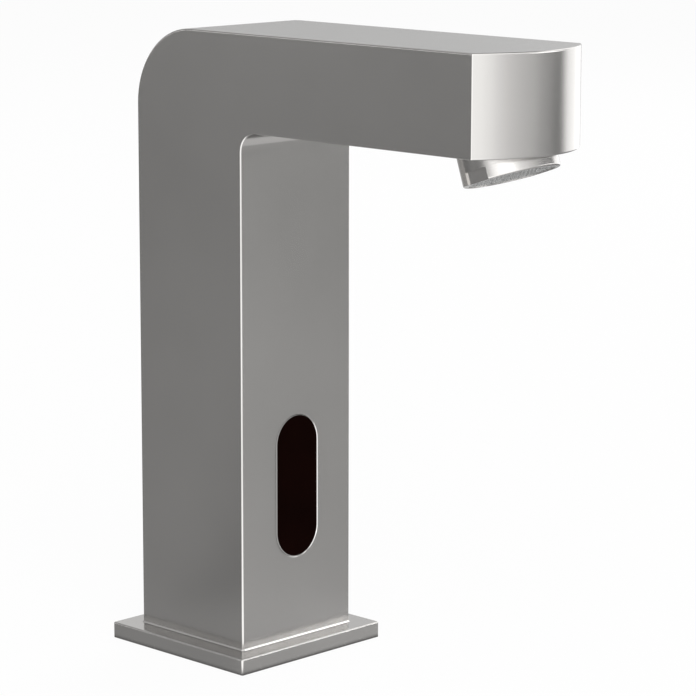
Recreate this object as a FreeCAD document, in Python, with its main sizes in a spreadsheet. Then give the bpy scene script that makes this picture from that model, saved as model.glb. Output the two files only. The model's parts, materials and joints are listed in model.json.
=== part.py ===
import FreeCAD, Part
import math
import os
import Sketcher

# Sensor tap. +Z is up, the spout points to -Y, and the origin is the middle of the base plate's
# underside. The sensor window is in the column's front (-Y) face. All sizes are in millimetres.

Vector = FreeCAD.Vector

SIZES = {
    # base plate
    "plate_width": 50.7,
    "plate_depth": 50.4,
    "plate_thick": 4.3,
    "plate_round": 0.45,
    "gasket_inset": 2.1,
    "gasket_band": 2.4,
    "gasket_thick": 1.2,
    # body shell: column, spout and nose
    "column_width": 39.4,
    "column_depth": 39.0,
    "body_top": 164.9,
    "spout_height": 25.1,
    "spout_reach": 97.8,
    "nose_bulge": 7.5,
    "back_radius": 20.5,
    "throat_radius": 5.0,
    "edge_round": 0.45,
    "foot_flare": 0.35,
    "wall": 2.0,
    # clearances shared by mating pieces
    "fit_gap": 0.05,
    "slide_gap": 0.08,
    "core_gap": 0.1,
    # base core with its inlet tower
    "core_height": 16.0,
    "spigot_radius": 16.0,
    "tower_radius": 7.0,
    "tower_height": 15.7,
    "inlet_back": 9.6,
    "inlet_radius": 4.5,
    "inlet_depth": 9.0,
    "stud_radius": 2.5,
    "stud_offset": 11.5,
    "stud_forward": 1.0,
    "stud_depth": 12.0,
    "cable_forward": 11.5,
    "grommet_radius": 2.8,
    "grommet_lip": 0.9,
    "grommet_bore": 1.8,
    # screws
    "plate_screw_edge": 3.3,
    "plate_screw_length": 13.0,
    "machine_screw_radius": 1.5,
    "machine_head_radius": 2.7,
    "machine_head_height": 1.6,
    "machine_hex": 1.15,
    "set_screw_radius": 2.0,
    "set_screw_length": 8.0,
    "set_screw_offset": 10.0,
    "set_screw_level": 12.0,
    "set_screw_inset": 0.25,
    "set_screw_hex": 1.1,
    "hex_depth": 1.0,
    # inlet strainer and non-return cartridge
    "cartridge_radius": 3.9,
    "cartridge_floor": 14.0,
    "cartridge_length": 12.8,
    "cartridge_wall": 0.9,
    "cartridge_seat_radius": 1.8,
    "cartridge_seat_thick": 1.0,
    "cartridge_ring": 0.35,
    "cartridge_groove": 0.9,
    "cartridge_rim": 0.55,
    "spider_thick": 2.0,
    "spider_hole": 0.55,
    "spider_ring": 2.25,
    "poppet_radius": 2.5,
    "poppet_thick": 1.2,
    "poppet_stem": 0.8,
    "poppet_wire": 0.3,
    "poppet_coil": 1.5,
    "strainer_lip": 0.6,
    "strainer_radius": 3.0,
    "strainer_drop": 4.2,
    "strainer_wall": 0.35,
    "strainer_hole": 0.4,
    "waterway": 2.6,
    # riser and outlet tubes
    "riser_radius": 4.0,
    "riser_bore": 3.0,
    "socket_depth": 6.0,
    "ring_section": 0.55,
    "ring_groove": 1.3,
    "outlet_edge": 4.2,
    "outlet_radius": 3.5,
    "outlet_bore": 2.75,
    "outlet_bend": 12.0,
    "outlet_rise": 10.8,
    "port_back": 18.3,
    "port_socket": 5.5,
    "port_wall": 1.9,
    # pilot-operated valve
    "shelf_gap": 0.6,
    "valve_height": 16.0,
    "valve_width": 28.0,
    "valve_front_gap": 0.5,
    "valve_rear_gap": 1.9,
    "valve_back": 2.8,
    "chamber_radius": 9.0,
    "chamber_depth": 5.0,
    "seat_radius": 4.3,
    "seat_drop": 2.4,
    "gallery_rise": 7.5,
    "washer_radius": 5.5,
    "washer_thick": 1.2,
    "disc_radius": 6.0,
    "disc_thick": 2.8,
    "pilot_radius": 0.6,
    "bleed_radius": 0.35,
    "rim_radius": 11.4,
    "rim_thick": 1.0,
    "skirt_thick": 0.8,
    "cover_width": 26.0,
    "cover_depth": 23.0,
    "cover_height": 6.0,
    "dome_radius": 8.0,
    "dome_depth": 3.2,
    "cover_screw_radius": 1.25,
    "cover_screw_length": 13.0,
    "cover_screw_edge": 2.15,
    "cover_head_radius": 2.0,
    "cover_head_height": 1.5,
    "cover_hex": 0.9,
    # solenoid
    "plunger_radius": 3.5,
    "plunger_length": 15.0,
    "plunger_travel": 2.0,
    "plunger_pocket": 5.0,
    "plunger_pocket_radius": 2.7,
    "plunger_tip_radius": 1.8,
    "plunger_tip_thick": 1.5,
    "plunger_wire": 0.4,
    "plunger_coil": 2.1,
    "sleeve_wall": 0.52,
    "sleeve_flange": 6.0,
    "sleeve_flange_thick": 1.0,
    "sleeve_cap": 1.2,
    "sleeve_length": 27.5,
    "yoke_width": 21.8,
    "yoke_depth": 14.0,
    "yoke_thick": 1.5,
    "bobbin_length": 20.0,
    "bobbin_radius": 9.0,
    "bobbin_flange": 1.2,
    "bobbin_hub": 1.0,
    "winding_radius": 8.4,
    "winding_gap": 0.05,
    "magnet_thick": 2.0,
    "nut_radius": 6.3,
    "nut_thick": 2.0,
    "terminal_width": 8.0,
    "terminal_depth": 3.0,
    "terminal_height": 4.0,
    "terminal_rise": 2.5,
    # inner bracket
    "bracket_thick": 1.2,
    "bracket_width": 9.6,
    "bracket_foot_width": 18.0,
    "bracket_foot_depth": 9.0,
    "bracket_screw_aside": 6.5,
    "bracket_screw_back": 5.1,
    "bracket_screw_length": 7.2,
    # sensor module
    "sensor_level": 45.2,
    "window_width": 15.2,
    "window_height": 38.15,
    "window_gap": 0.1,
    "window_rim": 0.15,
    "window_inset": 0.08,
    "flange_lip": 1.9,
    "flange_thick": 1.2,
    "seal_thick": 0.5,
    "housing_side": 3.85,
    "housing_end": 4.0,
    "housing_depth": 7.0,
    "housing_wall": 1.2,
    "housing_front": 1.0,
    "lid_thick": 1.2,
    "lid_rib": 1.0,
    "board_gap": 0.1,
    "board_thick": 1.0,
    "board_setback": 4.8,
    "shroud_gap": 0.3,
    "eye_offset": 9.0,
    "eye_radius": 1.5,
    "eye_length": 2.4,
    "eye_tube": 2.2,
    "lamp_radius": 0.8,
    "lamp_length": 2.0,
    "lamp_tube": 1.1,
    "chip_size": 6.0,
    "chip_thick": 1.0,
    "chip_rise": 6.0,
    "header_width": 4.2,
    "header_height": 4.0,
    "header_depth": 2.2,
    "header_aside": 7.2,
    "header_drop": 14.0,
    "lead_radius": 0.8,
    "lead_rise": 15.0,
    "lead_clear": 1.9,
    "lead_forward": 11.0,
    # tilted aerator under the nose
    "aerator_inset": 6.5,
    "aerator_tilt": 18.47,
    "collar_radius": 12.0,
    "collar_drop": 6.45,
    "collar_sink": 4.1,
    "collar_round": 0.45,
    "sink_gap": 0.2,
    "thread_radius": 10.8,
    "thread_top": 9.0,
    "mouth_radius": 9.7,
    "notch_width": 7.2,
    "notch_height": 3.0,
    "notch_turn": 3.5,
    "flat_offset": 11.0,
    "insert_top": 7.6,
    "insert_wall": 1.0,
    "insert_roof": 1.2,
    "insert_hole": 0.8,
    "insert_ring": 5.5,
    "grid_radius": 10.65,
    "grid_rim": 0.5,
    "grid_inset": 0.2,
    "grid_thick": 0.5,
    "grid_pitch": 0.95,
    "grid_bar": 0.3,
    "grid_turn": 45.0,
    "lip_radius": 8.5,
    "regulator_hole": 1.1,
    "regulator_ring": 4.6,
    "seal_bore": 8.0,
    "seal_height": 1.5,
    "socket_wall": 2.5,
    "swirl_radius": 7.0,
    "swirl_height": 3.0,
}

HEX_SIDES = 6
FAR = 200.0  # longer than the object, for cuts that go right through
SPIDER_HOLES = 4
STRAINER_HOLES = 10
STRAINER_ROWS = 3
JET_HOLES = 10
COIL_TURNS = 6
SHARP_ANGLE = 3  # degrees between two faces, above which their edge is a sharp one
BEND_SHARE = 0.45  # the part of a run that one bend of the lead may use
BEVEL_ANGLE = 45  # degrees that the foot's skirt and the window's bevel lean


class Term:
    """A size as the sheet's expression, together with its number."""

    def __init__(self, text, number):
        self.text = text
        self.number = number

    def join(self, sign, other, swapped=False):
        other = other if isinstance(other, Term) else Term(repr(float(other)), float(other))
        left, right = (other, self) if swapped else (self, other)
        results = {
            "+": lambda a, b: a + b,
            "-": lambda a, b: a - b,
            "*": lambda a, b: a * b,
            "/": lambda a, b: a / b,
        }
        text = "(" + left.text + " " + sign + " " + right.text + ")"
        return Term(text, results[sign](left.number, right.number))

    def __add__(self, other):
        return self.join("+", other)

    def __radd__(self, other):
        return self.join("+", other, True)

    def __sub__(self, other):
        return self.join("-", other)

    def __rsub__(self, other):
        return self.join("-", other, True)

    def __mul__(self, other):
        return self.join("*", other)

    def __rmul__(self, other):
        return self.join("*", other, True)

    def __truediv__(self, other):
        return self.join("/", other)

    def __neg__(self):
        return self.join("-", 0, True)

    def root(self):
        return Term("sqrt(" + self.text + ")", math.sqrt(self.number))


class Sizes:
    """The sheet's named sizes, read as size.column_width and so on."""

    def __getattr__(self, name):
        return Term("Sizes." + name, SIZES[name])


doc = FreeCAD.newDocument("SensorTap")
size = Sizes()
ZERO = Term("0", 0.0)
X_AXIS = Vector(1, 0, 0)
Y_AXIS = Vector(0, 1, 0)
Z_AXIS = Vector(0, 0, 1)
finished = []


def write_sheet():
    sheet = doc.addObject("Spreadsheet::Sheet", "Sizes")
    for row, (name, number) in enumerate(SIZES.items(), start=1):
        sheet.set("A" + str(row), name)
        sheet.set("B" + str(row), str(number))
        sheet.setAlias("B" + str(row), name)
    doc.recompute()


def term(value):
    return value if isinstance(value, Term) else Term(repr(float(value)), float(value))


def bind(item, field, value):
    item.setExpression(field, term(value).text)


def move(item, place, turn=None):
    """Puts an item at a bound place, turned from +Z by a fixed rotation."""
    if turn is not None:
        item.Placement = FreeCAD.Placement(Vector(), turn)
    for axis, value in zip("xyz", place):
        bind(item, "Placement.Base." + axis, value)


def vector(place):
    return Vector(*(term(value).number for value in place))


def named(item, label):
    item.Label = label
    finished.append(item)
    return item


# Directions that a primitive's own +Z can be turned to.
FORWARD = FreeCAD.Rotation(X_AXIS, 90)
BACKWARD = FreeCAD.Rotation(X_AXIS, -90)


def box(name, low, span):
    item = doc.addObject("Part::Box", name)
    for field, value in zip(("Length", "Width", "Height"), span):
        bind(item, field, value)
    move(item, low)
    return item


def cylinder(name, radius, height, place, turn=None):
    item = doc.addObject("Part::Cylinder", name)
    bind(item, "Radius", radius)
    bind(item, "Height", height)
    move(item, place, turn)
    return item


def ring(name, radius, section, place, turn=None):
    item = doc.addObject("Part::Torus", name)
    bind(item, "Radius1", radius)
    bind(item, "Radius2", section)
    move(item, place, turn)
    return item


def hexagon(name, radius, height, place, turn=None):
    item = doc.addObject("Part::Prism", name)
    item.Polygon = HEX_SIDES
    bind(item, "Circumradius", radius)
    bind(item, "Height", height)
    move(item, place, turn)
    return item


def cut(name, base, tools):
    for count, tool in enumerate(tools, start=1):
        item = doc.addObject("Part::Cut", name + "_cut_" + str(count))
        item.Base = base
        item.Tool = tool
        base = item
    return base


def fuse(name, shapes):
    item = doc.addObject("Part::MultiFuse", name + "_fuse")
    item.Shapes = shapes
    item.Refine = True
    return item


def plane(body, role):
    return next(part for part in body.Origin.OriginFeatures if part.Role == role)


def new_body(name):
    return doc.addObject("PartDesign::Body", name)


def outline(body, role, name, corners, arcs=None, offset=None):
    """A closed sketch. arcs maps a corner's index to the centre of the arc that leaves it,
    which runs anticlockwise to the next corner."""
    arcs = arcs or {}
    sketch = body.newObject("Sketcher::SketchObject", name)
    sketch.AttachmentSupport = [(plane(body, role), "")]
    sketch.MapMode = "FlatFace"
    if offset is not None:
        bind(sketch, "AttachmentOffset.Base.z", offset)
    spots = [vector(corner + (0,)) for corner in corners]
    count = len(spots)
    for index, start in enumerate(spots):
        end = spots[(index + 1) % count]
        if index in arcs:
            centre = vector(arcs[index] + (0,))
            circle = Part.Circle(centre, Z_AXIS, (start - centre).Length)
            first = math.atan2(start.y - centre.y, start.x - centre.x)
            last = math.atan2(end.y - centre.y, end.x - centre.x)
            sketch.addGeometry(Part.ArcOfCircle(circle, first, last))
        else:
            sketch.addGeometry(Part.LineSegment(start, end))
    for index in range(count):
        sketch.addConstraint(Sketcher.Constraint("Coincident", index, 2, (index + 1) % count, 1))
    for index, corner in enumerate(corners):
        pin(sketch, index, 1, "DistanceX", corner[0])
        pin(sketch, index, 1, "DistanceY", corner[1])
        if index in arcs:
            pin(sketch, index, 3, "DistanceY", arcs[index][1])
    return sketch


def pin(sketch, index, point, kind, value):
    value = term(value)
    rule = Sketcher.Constraint(kind, -1, 1, index, point, value.number)
    sketch.setExpression("Constraints[%d]" % sketch.addConstraint(rule), value.text)


def turned(name, profile, place=None, turn=None):
    """A body of revolution about its own Z, from (radius, height) corners."""
    body = new_body(name)
    sketch = outline(body, "XZ_Plane", name + "_profile", profile)
    feature = body.newObject("PartDesign::Revolution", name + "_turning")
    feature.Profile = sketch
    feature.ReferenceAxis = (sketch, ["V_Axis"])
    feature.Angle = 360
    if place is not None:
        move(body, place, turn)
    return body


def tube_profile(inner, outer, low, high):
    return [(inner, low), (outer, low), (outer, high), (inner, high)]


def pad(body, sketch, length, midplane=False, backwards=False):
    feature = body.newObject("PartDesign::Pad", sketch.Name + "_pad")
    feature.Profile = sketch
    bind(feature, "Length", length)
    feature.Midplane = midplane
    feature.Reversed = backwards
    return feature


def pocket_through(body, sketch, backwards):
    feature = body.newObject("PartDesign::Pocket", sketch.Name + "_pocket")
    feature.Profile = sketch
    feature.Type = "ThroughAll"
    feature.Reversed = backwards
    return feature


def round_edges(body, name, radius, keep):
    """Rounds the edges of the body's last feature that keep() picks."""
    doc.recompute()
    base = body.Tip
    picked = [
        "Edge" + str(number)
        for number, edge in enumerate(base.Shape.Edges, start=1)
        if keep(base.Shape, edge)
    ]
    feature = body.newObject("PartDesign::Fillet", name)
    feature.Base = (base, picked)
    bind(feature, "Radius", radius)
    return feature


def middle(edge):
    return edge.valueAt((edge.FirstParameter + edge.LastParameter) / 2)


def is_sharp(shape, edge):
    """True where the two faces at an edge meet at an angle."""
    faces = shape.ancestorsOfType(edge, Part.Face)
    if len(faces) < 2:
        return False
    spot = middle(edge)
    normals = [face.normalAt(*face.Surface.parameter(spot)) for face in faces]
    return abs(normals[0].dot(normals[1])) < math.cos(math.radians(SHARP_ANGLE))


def obround(body, name, width, height, offset=None):
    """A sketch in the body's own XZ plane: a slot with round ends, standing up."""
    half = width / 2
    straight = (height - width) / 2
    corners = [(-half, -straight), (half, -straight), (half, straight), (-half, straight)]
    arcs = {0: (ZERO, -straight), 2: (ZERO, straight)}
    return outline(body, "XZ_Plane", name, corners, arcs, offset)


def upright_slot(name, width, height, front, depth, level):
    """A solid slot whose front face is at y = -front and which runs back by depth."""
    body = new_body(name)
    pad(body, obround(body, name + "_outline", width, height), depth, backwards=True)
    move(body, (ZERO, -front, level))
    return body


def screw(name, radius, length, head_radius, head_height, hex_radius):
    """A cap screw along +Z: the head's top face is at z = 0 and the shank runs down."""
    profile = [
        (ZERO, -length - head_height),
        (radius, -length - head_height),
        (radius, -head_height),
        (head_radius, -head_height),
        (head_radius, ZERO),
        (ZERO, ZERO),
    ]
    blank = turned(name + "_blank", profile)
    drive = hexagon(name + "_drive", hex_radius, size.hex_depth * 2, (ZERO, ZERO, -size.hex_depth))
    return cut(name, blank, [drive])


def copies(label, master, places, turn=None):
    """One node that holds the same piece at several places."""
    doc.recompute()
    turn = turn or FreeCAD.Rotation()
    solids = []
    for place in places:
        shape = master.Shape.copy()
        shape.Placement = FreeCAD.Placement(vector(place), turn)
        solids.append(shape)
    item = doc.addObject("Part::Feature", label)
    item.Shape = Part.makeCompound(solids)
    return named(item, label)


def group(label, items):
    item = doc.addObject("Part::Compound", label)
    item.Links = items
    return named(item, label)


def pipe_path(points, bends):
    """Straight runs joined by tangent arcs of the given radii."""
    edges = []
    start = points[0]
    for index, bend in enumerate(bends, start=1):
        corner = points[index]
        back = (points[index - 1] - corner).normalize()
        ahead = (points[index + 1] - corner).normalize()
        half = back.getAngle(ahead) / 2
        reach = bend / math.tan(half)
        into = corner + back * reach
        out = corner + ahead * reach
        inner = (back + ahead).normalize()
        top = corner + inner * (bend / math.sin(half) - bend)
        edges.append(Part.LineSegment(start, into).toShape())
        edges.append(Part.Arc(into, top, out).toShape())
        start = out
    edges.append(Part.LineSegment(start, points[-1]).toShape())
    return Part.Wire(edges)


def swept(path, radius):
    start = path.Edges[0]
    ahead = start.tangentAt(start.FirstParameter)
    circle = Part.Wire(Part.makeCircle(radius, start.valueAt(start.FirstParameter), ahead))
    return path.makePipeShell([circle], True, False)


def spring(label, coil, wire, low, high, place):
    """A helical spring along Z whose round wire ends just inside low and high."""
    rise = (high - low).number - wire.number * 2
    pitch = rise / COIL_TURNS
    helix = Part.makeHelix(pitch, rise, coil.number)
    helix.translate(Vector(0, 0, low.number + wire.number))
    start = Vector(coil.number, 0, low.number + wire.number)
    ahead = Vector(0, 2 * math.pi * coil.number, pitch)
    circle = Part.Wire(Part.makeCircle(wire.number, start, ahead))
    item = doc.addObject("Part::Feature", label)
    item.Shape = Part.Wire(helix.Edges).makePipeShell([circle], True, True)
    item.Placement = FreeCAD.Placement(vector(place), FreeCAD.Rotation())
    return named(item, label)


# ---------------------------------------------------------------- levels and places in common

CORE_TOP = size.plate_thick + size.core_height
TOWER_TOP = CORE_TOP + size.tower_height
SPOUT_FLOOR = size.body_top - size.spout_height
HALF_WIDTH = size.column_width / 2
HALF_DEPTH = size.column_depth / 2
INNER_FRONT = HALF_DEPTH - size.wall
NOSE_RADIUS = (HALF_WIDTH * HALF_WIDTH + size.nose_bulge * size.nose_bulge) / (2 * size.nose_bulge)
NOSE_CENTRE = size.spout_reach + size.nose_bulge - NOSE_RADIUS
AERATOR_REACH = size.spout_reach - size.aerator_inset
PORT_FACE = AERATOR_REACH - size.port_back
OUTLET_LEVEL = SPOUT_FLOOR + size.outlet_rise
HOUSING_WIDTH = size.window_width + size.housing_side * 2
HOUSING_HEIGHT = size.window_height + size.housing_end * 2
CARTRIDGE_TOP = size.cartridge_floor + size.cartridge_length
RISER_FLOOR = TOWER_TOP - size.socket_depth
VALVE_FLOOR = size.sensor_level + HOUSING_HEIGHT / 2 + size.shelf_gap + size.bracket_thick
VALVE_FRONT = INNER_FRONT - size.valve_front_gap
VALVE_REAR = INNER_FRONT - size.valve_rear_gap
OUTLET_FORWARD = VALVE_FRONT - size.outlet_edge
RISER_TOP = VALVE_FLOOR + size.socket_depth
VALVE_TOP = VALVE_FLOOR + size.valve_height
SEAT_TOP = VALVE_TOP - size.seat_drop
DISC_FLOOR = SEAT_TOP + size.washer_thick
DISC_TOP = DISC_FLOOR + size.disc_thick
COVER_TOP = VALVE_TOP + size.cover_height
PLUNGER_FLOOR = DISC_TOP + size.plunger_tip_thick
PLUNGER_TOP = PLUNGER_FLOOR + size.plunger_length
STOP_FLOOR = PLUNGER_TOP + size.plunger_travel
SLEEVE_INNER = size.plunger_radius + size.slide_gap
SLEEVE_OUTER = SLEEVE_INNER + size.sleeve_wall
SLEEVE_TOP = COVER_TOP + size.sleeve_length
BOBBIN_FLOOR = COVER_TOP + size.yoke_thick
BOBBIN_TOP = BOBBIN_FLOOR + size.bobbin_length
YOKE_TOP = BOBBIN_TOP + size.magnet_thick + size.yoke_thick
SENSOR_FRONT = INNER_FRONT - size.seal_thick - size.flange_thick
BOARD_FRONT = SENSOR_FRONT - size.board_setback
HOUSING_BACK = SENSOR_FRONT - size.housing_depth
LID_BACK = HOUSING_BACK - size.lid_thick
LEAD_ASIDE = size.valve_width / 2 + size.lead_clear
LEAD_LEVEL = size.sensor_level + size.lead_rise
SOCKET_TOP = size.thread_top + size.seal_height
COLLAR_FLOOR = -size.collar_drop
RING_RADIUS_GAP = size.ring_section + size.fit_gap

VALVE_AXIS = (ZERO, size.valve_back)
INLET_AXIS = (ZERO, size.inlet_back)
OUTLET_AXIS = (ZERO, -OUTLET_FORWARD)


def at(axis, level):
    return (axis[0], axis[1], term(level))


def tilt(body):
    """Puts a body on the aerator's axis, which leans forward as it leaves the nose."""
    move(body, (ZERO, -AERATOR_REACH, SPOUT_FLOOR), tilted_turn())
    bind(body, "Placement.Rotation.Angle", size.aerator_tilt)
    return body


def tilted_turn():
    return FreeCAD.Rotation(-X_AXIS, size.aerator_tilt.number)


# ---------------------------------------------------------------- body shell


def elbow_form(name, inset, foot):
    """The column and spout as one solid, drawn in by inset on every side."""
    body = new_body(name)
    back = HALF_DEPTH - inset
    front = -(HALF_DEPTH - inset)
    top = size.body_top - inset
    floor = SPOUT_FLOOR + inset
    tip = size.spout_reach + size.nose_bulge - inset
    side = HALF_WIDTH - inset
    profile = [
        (back, foot),
        (back, top),
        (-tip, top),
        (-tip, floor),
        (front, floor),
        (front, foot),
    ]
    pad(body, outline(body, "YZ_Plane", name + "_side", profile), side * 2, midplane=True)
    radius = NOSE_RADIUS - inset
    shoulder = NOSE_CENTRE + (radius * radius - side * side).root()
    beyond = tip + size.spout_height
    wide = HALF_WIDTH * 2
    plan = [
        (-side, -shoulder),
        (side, -shoulder),
        (wide, -shoulder),
        (wide, -beyond),
        (-wide, -beyond),
        (-wide, -shoulder),
    ]
    nose = outline(body, "XY_Plane", name + "_nose", plan, {0: (ZERO, -NOSE_CENTRE)})
    pocket_through(body, nose, backwards=True)

    def at_corner(depth, level):
        spot = Vector(0, depth.number, level.number)
        return lambda shape, edge: (middle(edge) - spot).Length < size.edge_round.number

    round_edges(body, name + "_back_round", size.back_radius - inset, at_corner(back, top))
    round_edges(body, name + "_throat_round", size.throat_radius + inset, at_corner(front, floor))
    return body


def tap_body():
    outer = elbow_form("outer_form", ZERO, size.plate_thick)
    foot = size.plate_thick.number

    def above_foot(shape, edge):
        return is_sharp(shape, edge) and middle(edge).z > foot + size.edge_round.number

    round_edges(outer, "outer_edge_round", size.edge_round, above_foot)
    flare = pad(outer, foot_outline(outer), size.foot_flare)
    flare.TaperAngle = -BEVEL_ANGLE
    inner = elbow_form("inner_form", size.wall, ZERO)
    boss = turned(
        "outlet_boss",
        tube_profile(ZERO, size.thread_radius + size.core_gap + size.socket_wall,
                     -size.spout_height, SOCKET_TOP + size.swirl_height + size.wall),
    )
    tilt(boss)
    port_half = size.outlet_radius + size.port_wall
    port = box(
        "outlet_port_block",
        (-port_half, -AERATOR_REACH, OUTLET_LEVEL - port_half),
        (port_half * 2, AERATOR_REACH - PORT_FACE, port_half * 2),
    )
    cavity = cut("body_cavity", inner, [boss, port])
    tools = [cavity, socket_bore(), *port_bores(), window_opening(), *set_screw_holes()]
    return named(cut("tap_body", outer, tools), "tap_body")


def foot_outline(body):
    """The rim of the small sloped skirt where the column meets the plate."""
    wide = HALF_WIDTH + size.foot_flare
    deep = HALF_DEPTH + size.foot_flare
    radius = size.edge_round + size.foot_flare
    near = wide - radius
    far = deep - radius
    corners = [
        (-near, -deep), (near, -deep), (wide, -far), (wide, far),
        (near, deep), (-near, deep), (-wide, far), (-wide, -far),
    ]
    arcs = {1: (near, -far), 3: (near, far), 5: (-near, far), 7: (-near, -far)}
    return outline(body, "XY_Plane", "foot_outline", corners, arcs, size.plate_thick)


def socket_bore():
    """The tilted bore in the nose: a sink for the collar, the thread and a small chamber."""
    sink = size.collar_sink + size.sink_gap
    profile = [
        (ZERO, -size.spout_height),
        (size.collar_radius + size.fit_gap, -size.spout_height),
        (size.collar_radius + size.fit_gap, sink),
        (size.thread_radius + size.core_gap, sink),
        (size.thread_radius + size.core_gap, SOCKET_TOP),
        (size.swirl_radius, SOCKET_TOP),
        (size.swirl_radius, SOCKET_TOP + size.swirl_height),
        (ZERO, SOCKET_TOP + size.swirl_height),
    ]
    return tilt(turned("socket_bore", profile))


def port_bores():
    """The outlet tube's socket and its seal groove, and the waterway into the chamber."""
    face = -PORT_FACE
    depth = size.port_socket
    socket = cylinder(
        "port_socket", size.outlet_radius + size.fit_gap, depth + size.wall,
        (ZERO, face + size.wall, OUTLET_LEVEL), FORWARD,
    )
    groove = cylinder(
        "port_groove", size.outlet_radius + RING_RADIUS_GAP * 2, size.ring_groove,
        (ZERO, face - (depth - size.ring_groove) / 2, OUTLET_LEVEL), FORWARD,
    )
    waterway = cylinder(
        "port_waterway", size.outlet_bore, AERATOR_REACH - PORT_FACE - size.wall * 2,
        (ZERO, face, OUTLET_LEVEL), FORWARD,
    )
    return [socket, groove, waterway]


def window_opening():
    """A slot through the column's front wall with a small bevel at its rim."""
    body = new_body("window_opening")
    rim = size.window_rim
    hole = obround(body, "opening_outline", size.window_width, size.window_height)
    pad(body, hole, size.wall * 2, backwards=True)
    wide = obround(body, "rim_outline", size.window_width + rim * 2, size.window_height + rim * 2)
    bevel = pad(body, wide, rim, backwards=True)
    bevel.TaperAngle = -BEVEL_ANGLE
    move(body, (ZERO, -HALF_DEPTH, size.sensor_level))
    return body


def set_screw_holes():
    return [
        cylinder(
            "set_screw_hole_" + side, size.set_screw_radius + size.fit_gap, size.wall * 3,
            (aside, HALF_DEPTH - size.wall * 2, size.set_screw_level), BACKWARD,
        )
        for side, aside in (("left", -size.set_screw_offset), ("right", size.set_screw_offset))
    ]


# ---------------------------------------------------------------- base


def base_plate():
    body = new_body("plate_form")
    wide = size.plate_width / 2
    deep = size.plate_depth / 2
    corners = [(-wide, -deep), (wide, -deep), (wide, deep), (-wide, deep)]
    pad(body, outline(body, "XY_Plane", "plate_outline", corners), size.plate_thick)
    floor = size.plate_round.number
    round_edges(
        body, "plate_edge_round", size.plate_round,
        lambda shape, edge: middle(edge).z > floor,
    )
    hole = cylinder(
        "plate_hole", size.spigot_radius + size.core_gap, size.plate_thick * 3,
        (ZERO, ZERO, -size.plate_thick),
    )
    outer, inner = gasket_squares("plate_groove", size.core_gap, size.gasket_thick)
    groove = cut("plate_groove", outer, [inner])
    holes = []
    for number, place in enumerate(plate_screw_places(), start=1):
        holes.append(cylinder(
            "plate_screw_hole_%d" % number, size.machine_screw_radius + size.fit_gap,
            size.plate_thick * 2, place,
        ))
        holes.append(cylinder(
            "plate_screw_sink_%d" % number, size.machine_head_radius + size.core_gap,
            size.machine_head_height, place,
        ))
    return named(cut("base_plate", body, [hole, groove, *holes]), "base_plate")


def gasket_squares(name, gap, thick):
    """The outer and inner squares of the gasket or, with a gap, of its groove."""
    squares = []
    for part, inset in (
        ("outer", size.gasket_inset - gap),
        ("inner", size.gasket_inset + size.gasket_band + gap),
    ):
        wide = size.plate_width / 2 - inset
        deep = size.plate_depth / 2 - inset
        squares.append(box(name + "_" + part, (-wide, -deep, ZERO), (wide * 2, deep * 2, thick)))
    return squares


def deck_gasket():
    outer, inner = gasket_squares("deck_gasket", ZERO, size.gasket_thick)
    return named(cut("deck_gasket", outer, [inner]), "deck_gasket")


def plate_screw_places():
    aside = HALF_WIDTH - size.wall - size.core_gap - size.plate_screw_edge
    along = HALF_DEPTH - size.wall - size.core_gap - size.plate_screw_edge
    return [
        (x_sign * aside, y_sign * along, ZERO)
        for x_sign in (-1, 1)
        for y_sign in (-1, 1)
    ]


def plate_screws():
    master = screw(
        "plate_screw", size.machine_screw_radius, size.plate_screw_length,
        size.machine_head_radius, size.machine_head_height, size.machine_hex,
    )
    upside_down = FreeCAD.Rotation(X_AXIS, 180)
    return copies("plate_screws", master, plate_screw_places(), upside_down)


def base_core():
    half_width = HALF_WIDTH - size.wall - size.core_gap
    half_depth = HALF_DEPTH - size.wall - size.core_gap
    block = box(
        "core_block", (-half_width, -half_depth, size.plate_thick),
        (half_width * 2, half_depth * 2, size.core_height),
    )
    spigot = cylinder("core_spigot", size.spigot_radius, CORE_TOP, (ZERO, ZERO, ZERO))
    tower = cylinder("core_tower", size.tower_radius, size.tower_height, at(INLET_AXIS, CORE_TOP))
    solid = fuse("base_core", [block, spigot, tower])
    return named(cut("base_core", solid, [core_waterway(), *core_holes()]), "base_core")


def core_waterway():
    """From below: inlet thread, cartridge bore, waterway, and the riser's socket with its groove."""
    groove_low = RISER_FLOOR + (size.socket_depth - size.ring_groove) / 2
    groove_high = groove_low + size.ring_groove
    cartridge = size.cartridge_radius + size.fit_gap
    riser = size.riser_radius + size.fit_gap
    groove = size.riser_radius + RING_RADIUS_GAP * 2
    profile = [
        (ZERO, -size.wall),
        (size.inlet_radius, -size.wall),
        (size.inlet_radius, size.inlet_depth),
        (cartridge, size.inlet_depth),
        (cartridge, CARTRIDGE_TOP),
        (size.waterway, CARTRIDGE_TOP),
        (size.waterway, RISER_FLOOR),
        (riser, RISER_FLOOR),
        (riser, groove_low),
        (groove, groove_low),
        (groove, groove_high),
        (riser, groove_high),
        (riser, TOWER_TOP + size.wall),
        (ZERO, TOWER_TOP + size.wall),
    ]
    return turned("core_waterway", profile, at(INLET_AXIS, ZERO))


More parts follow.
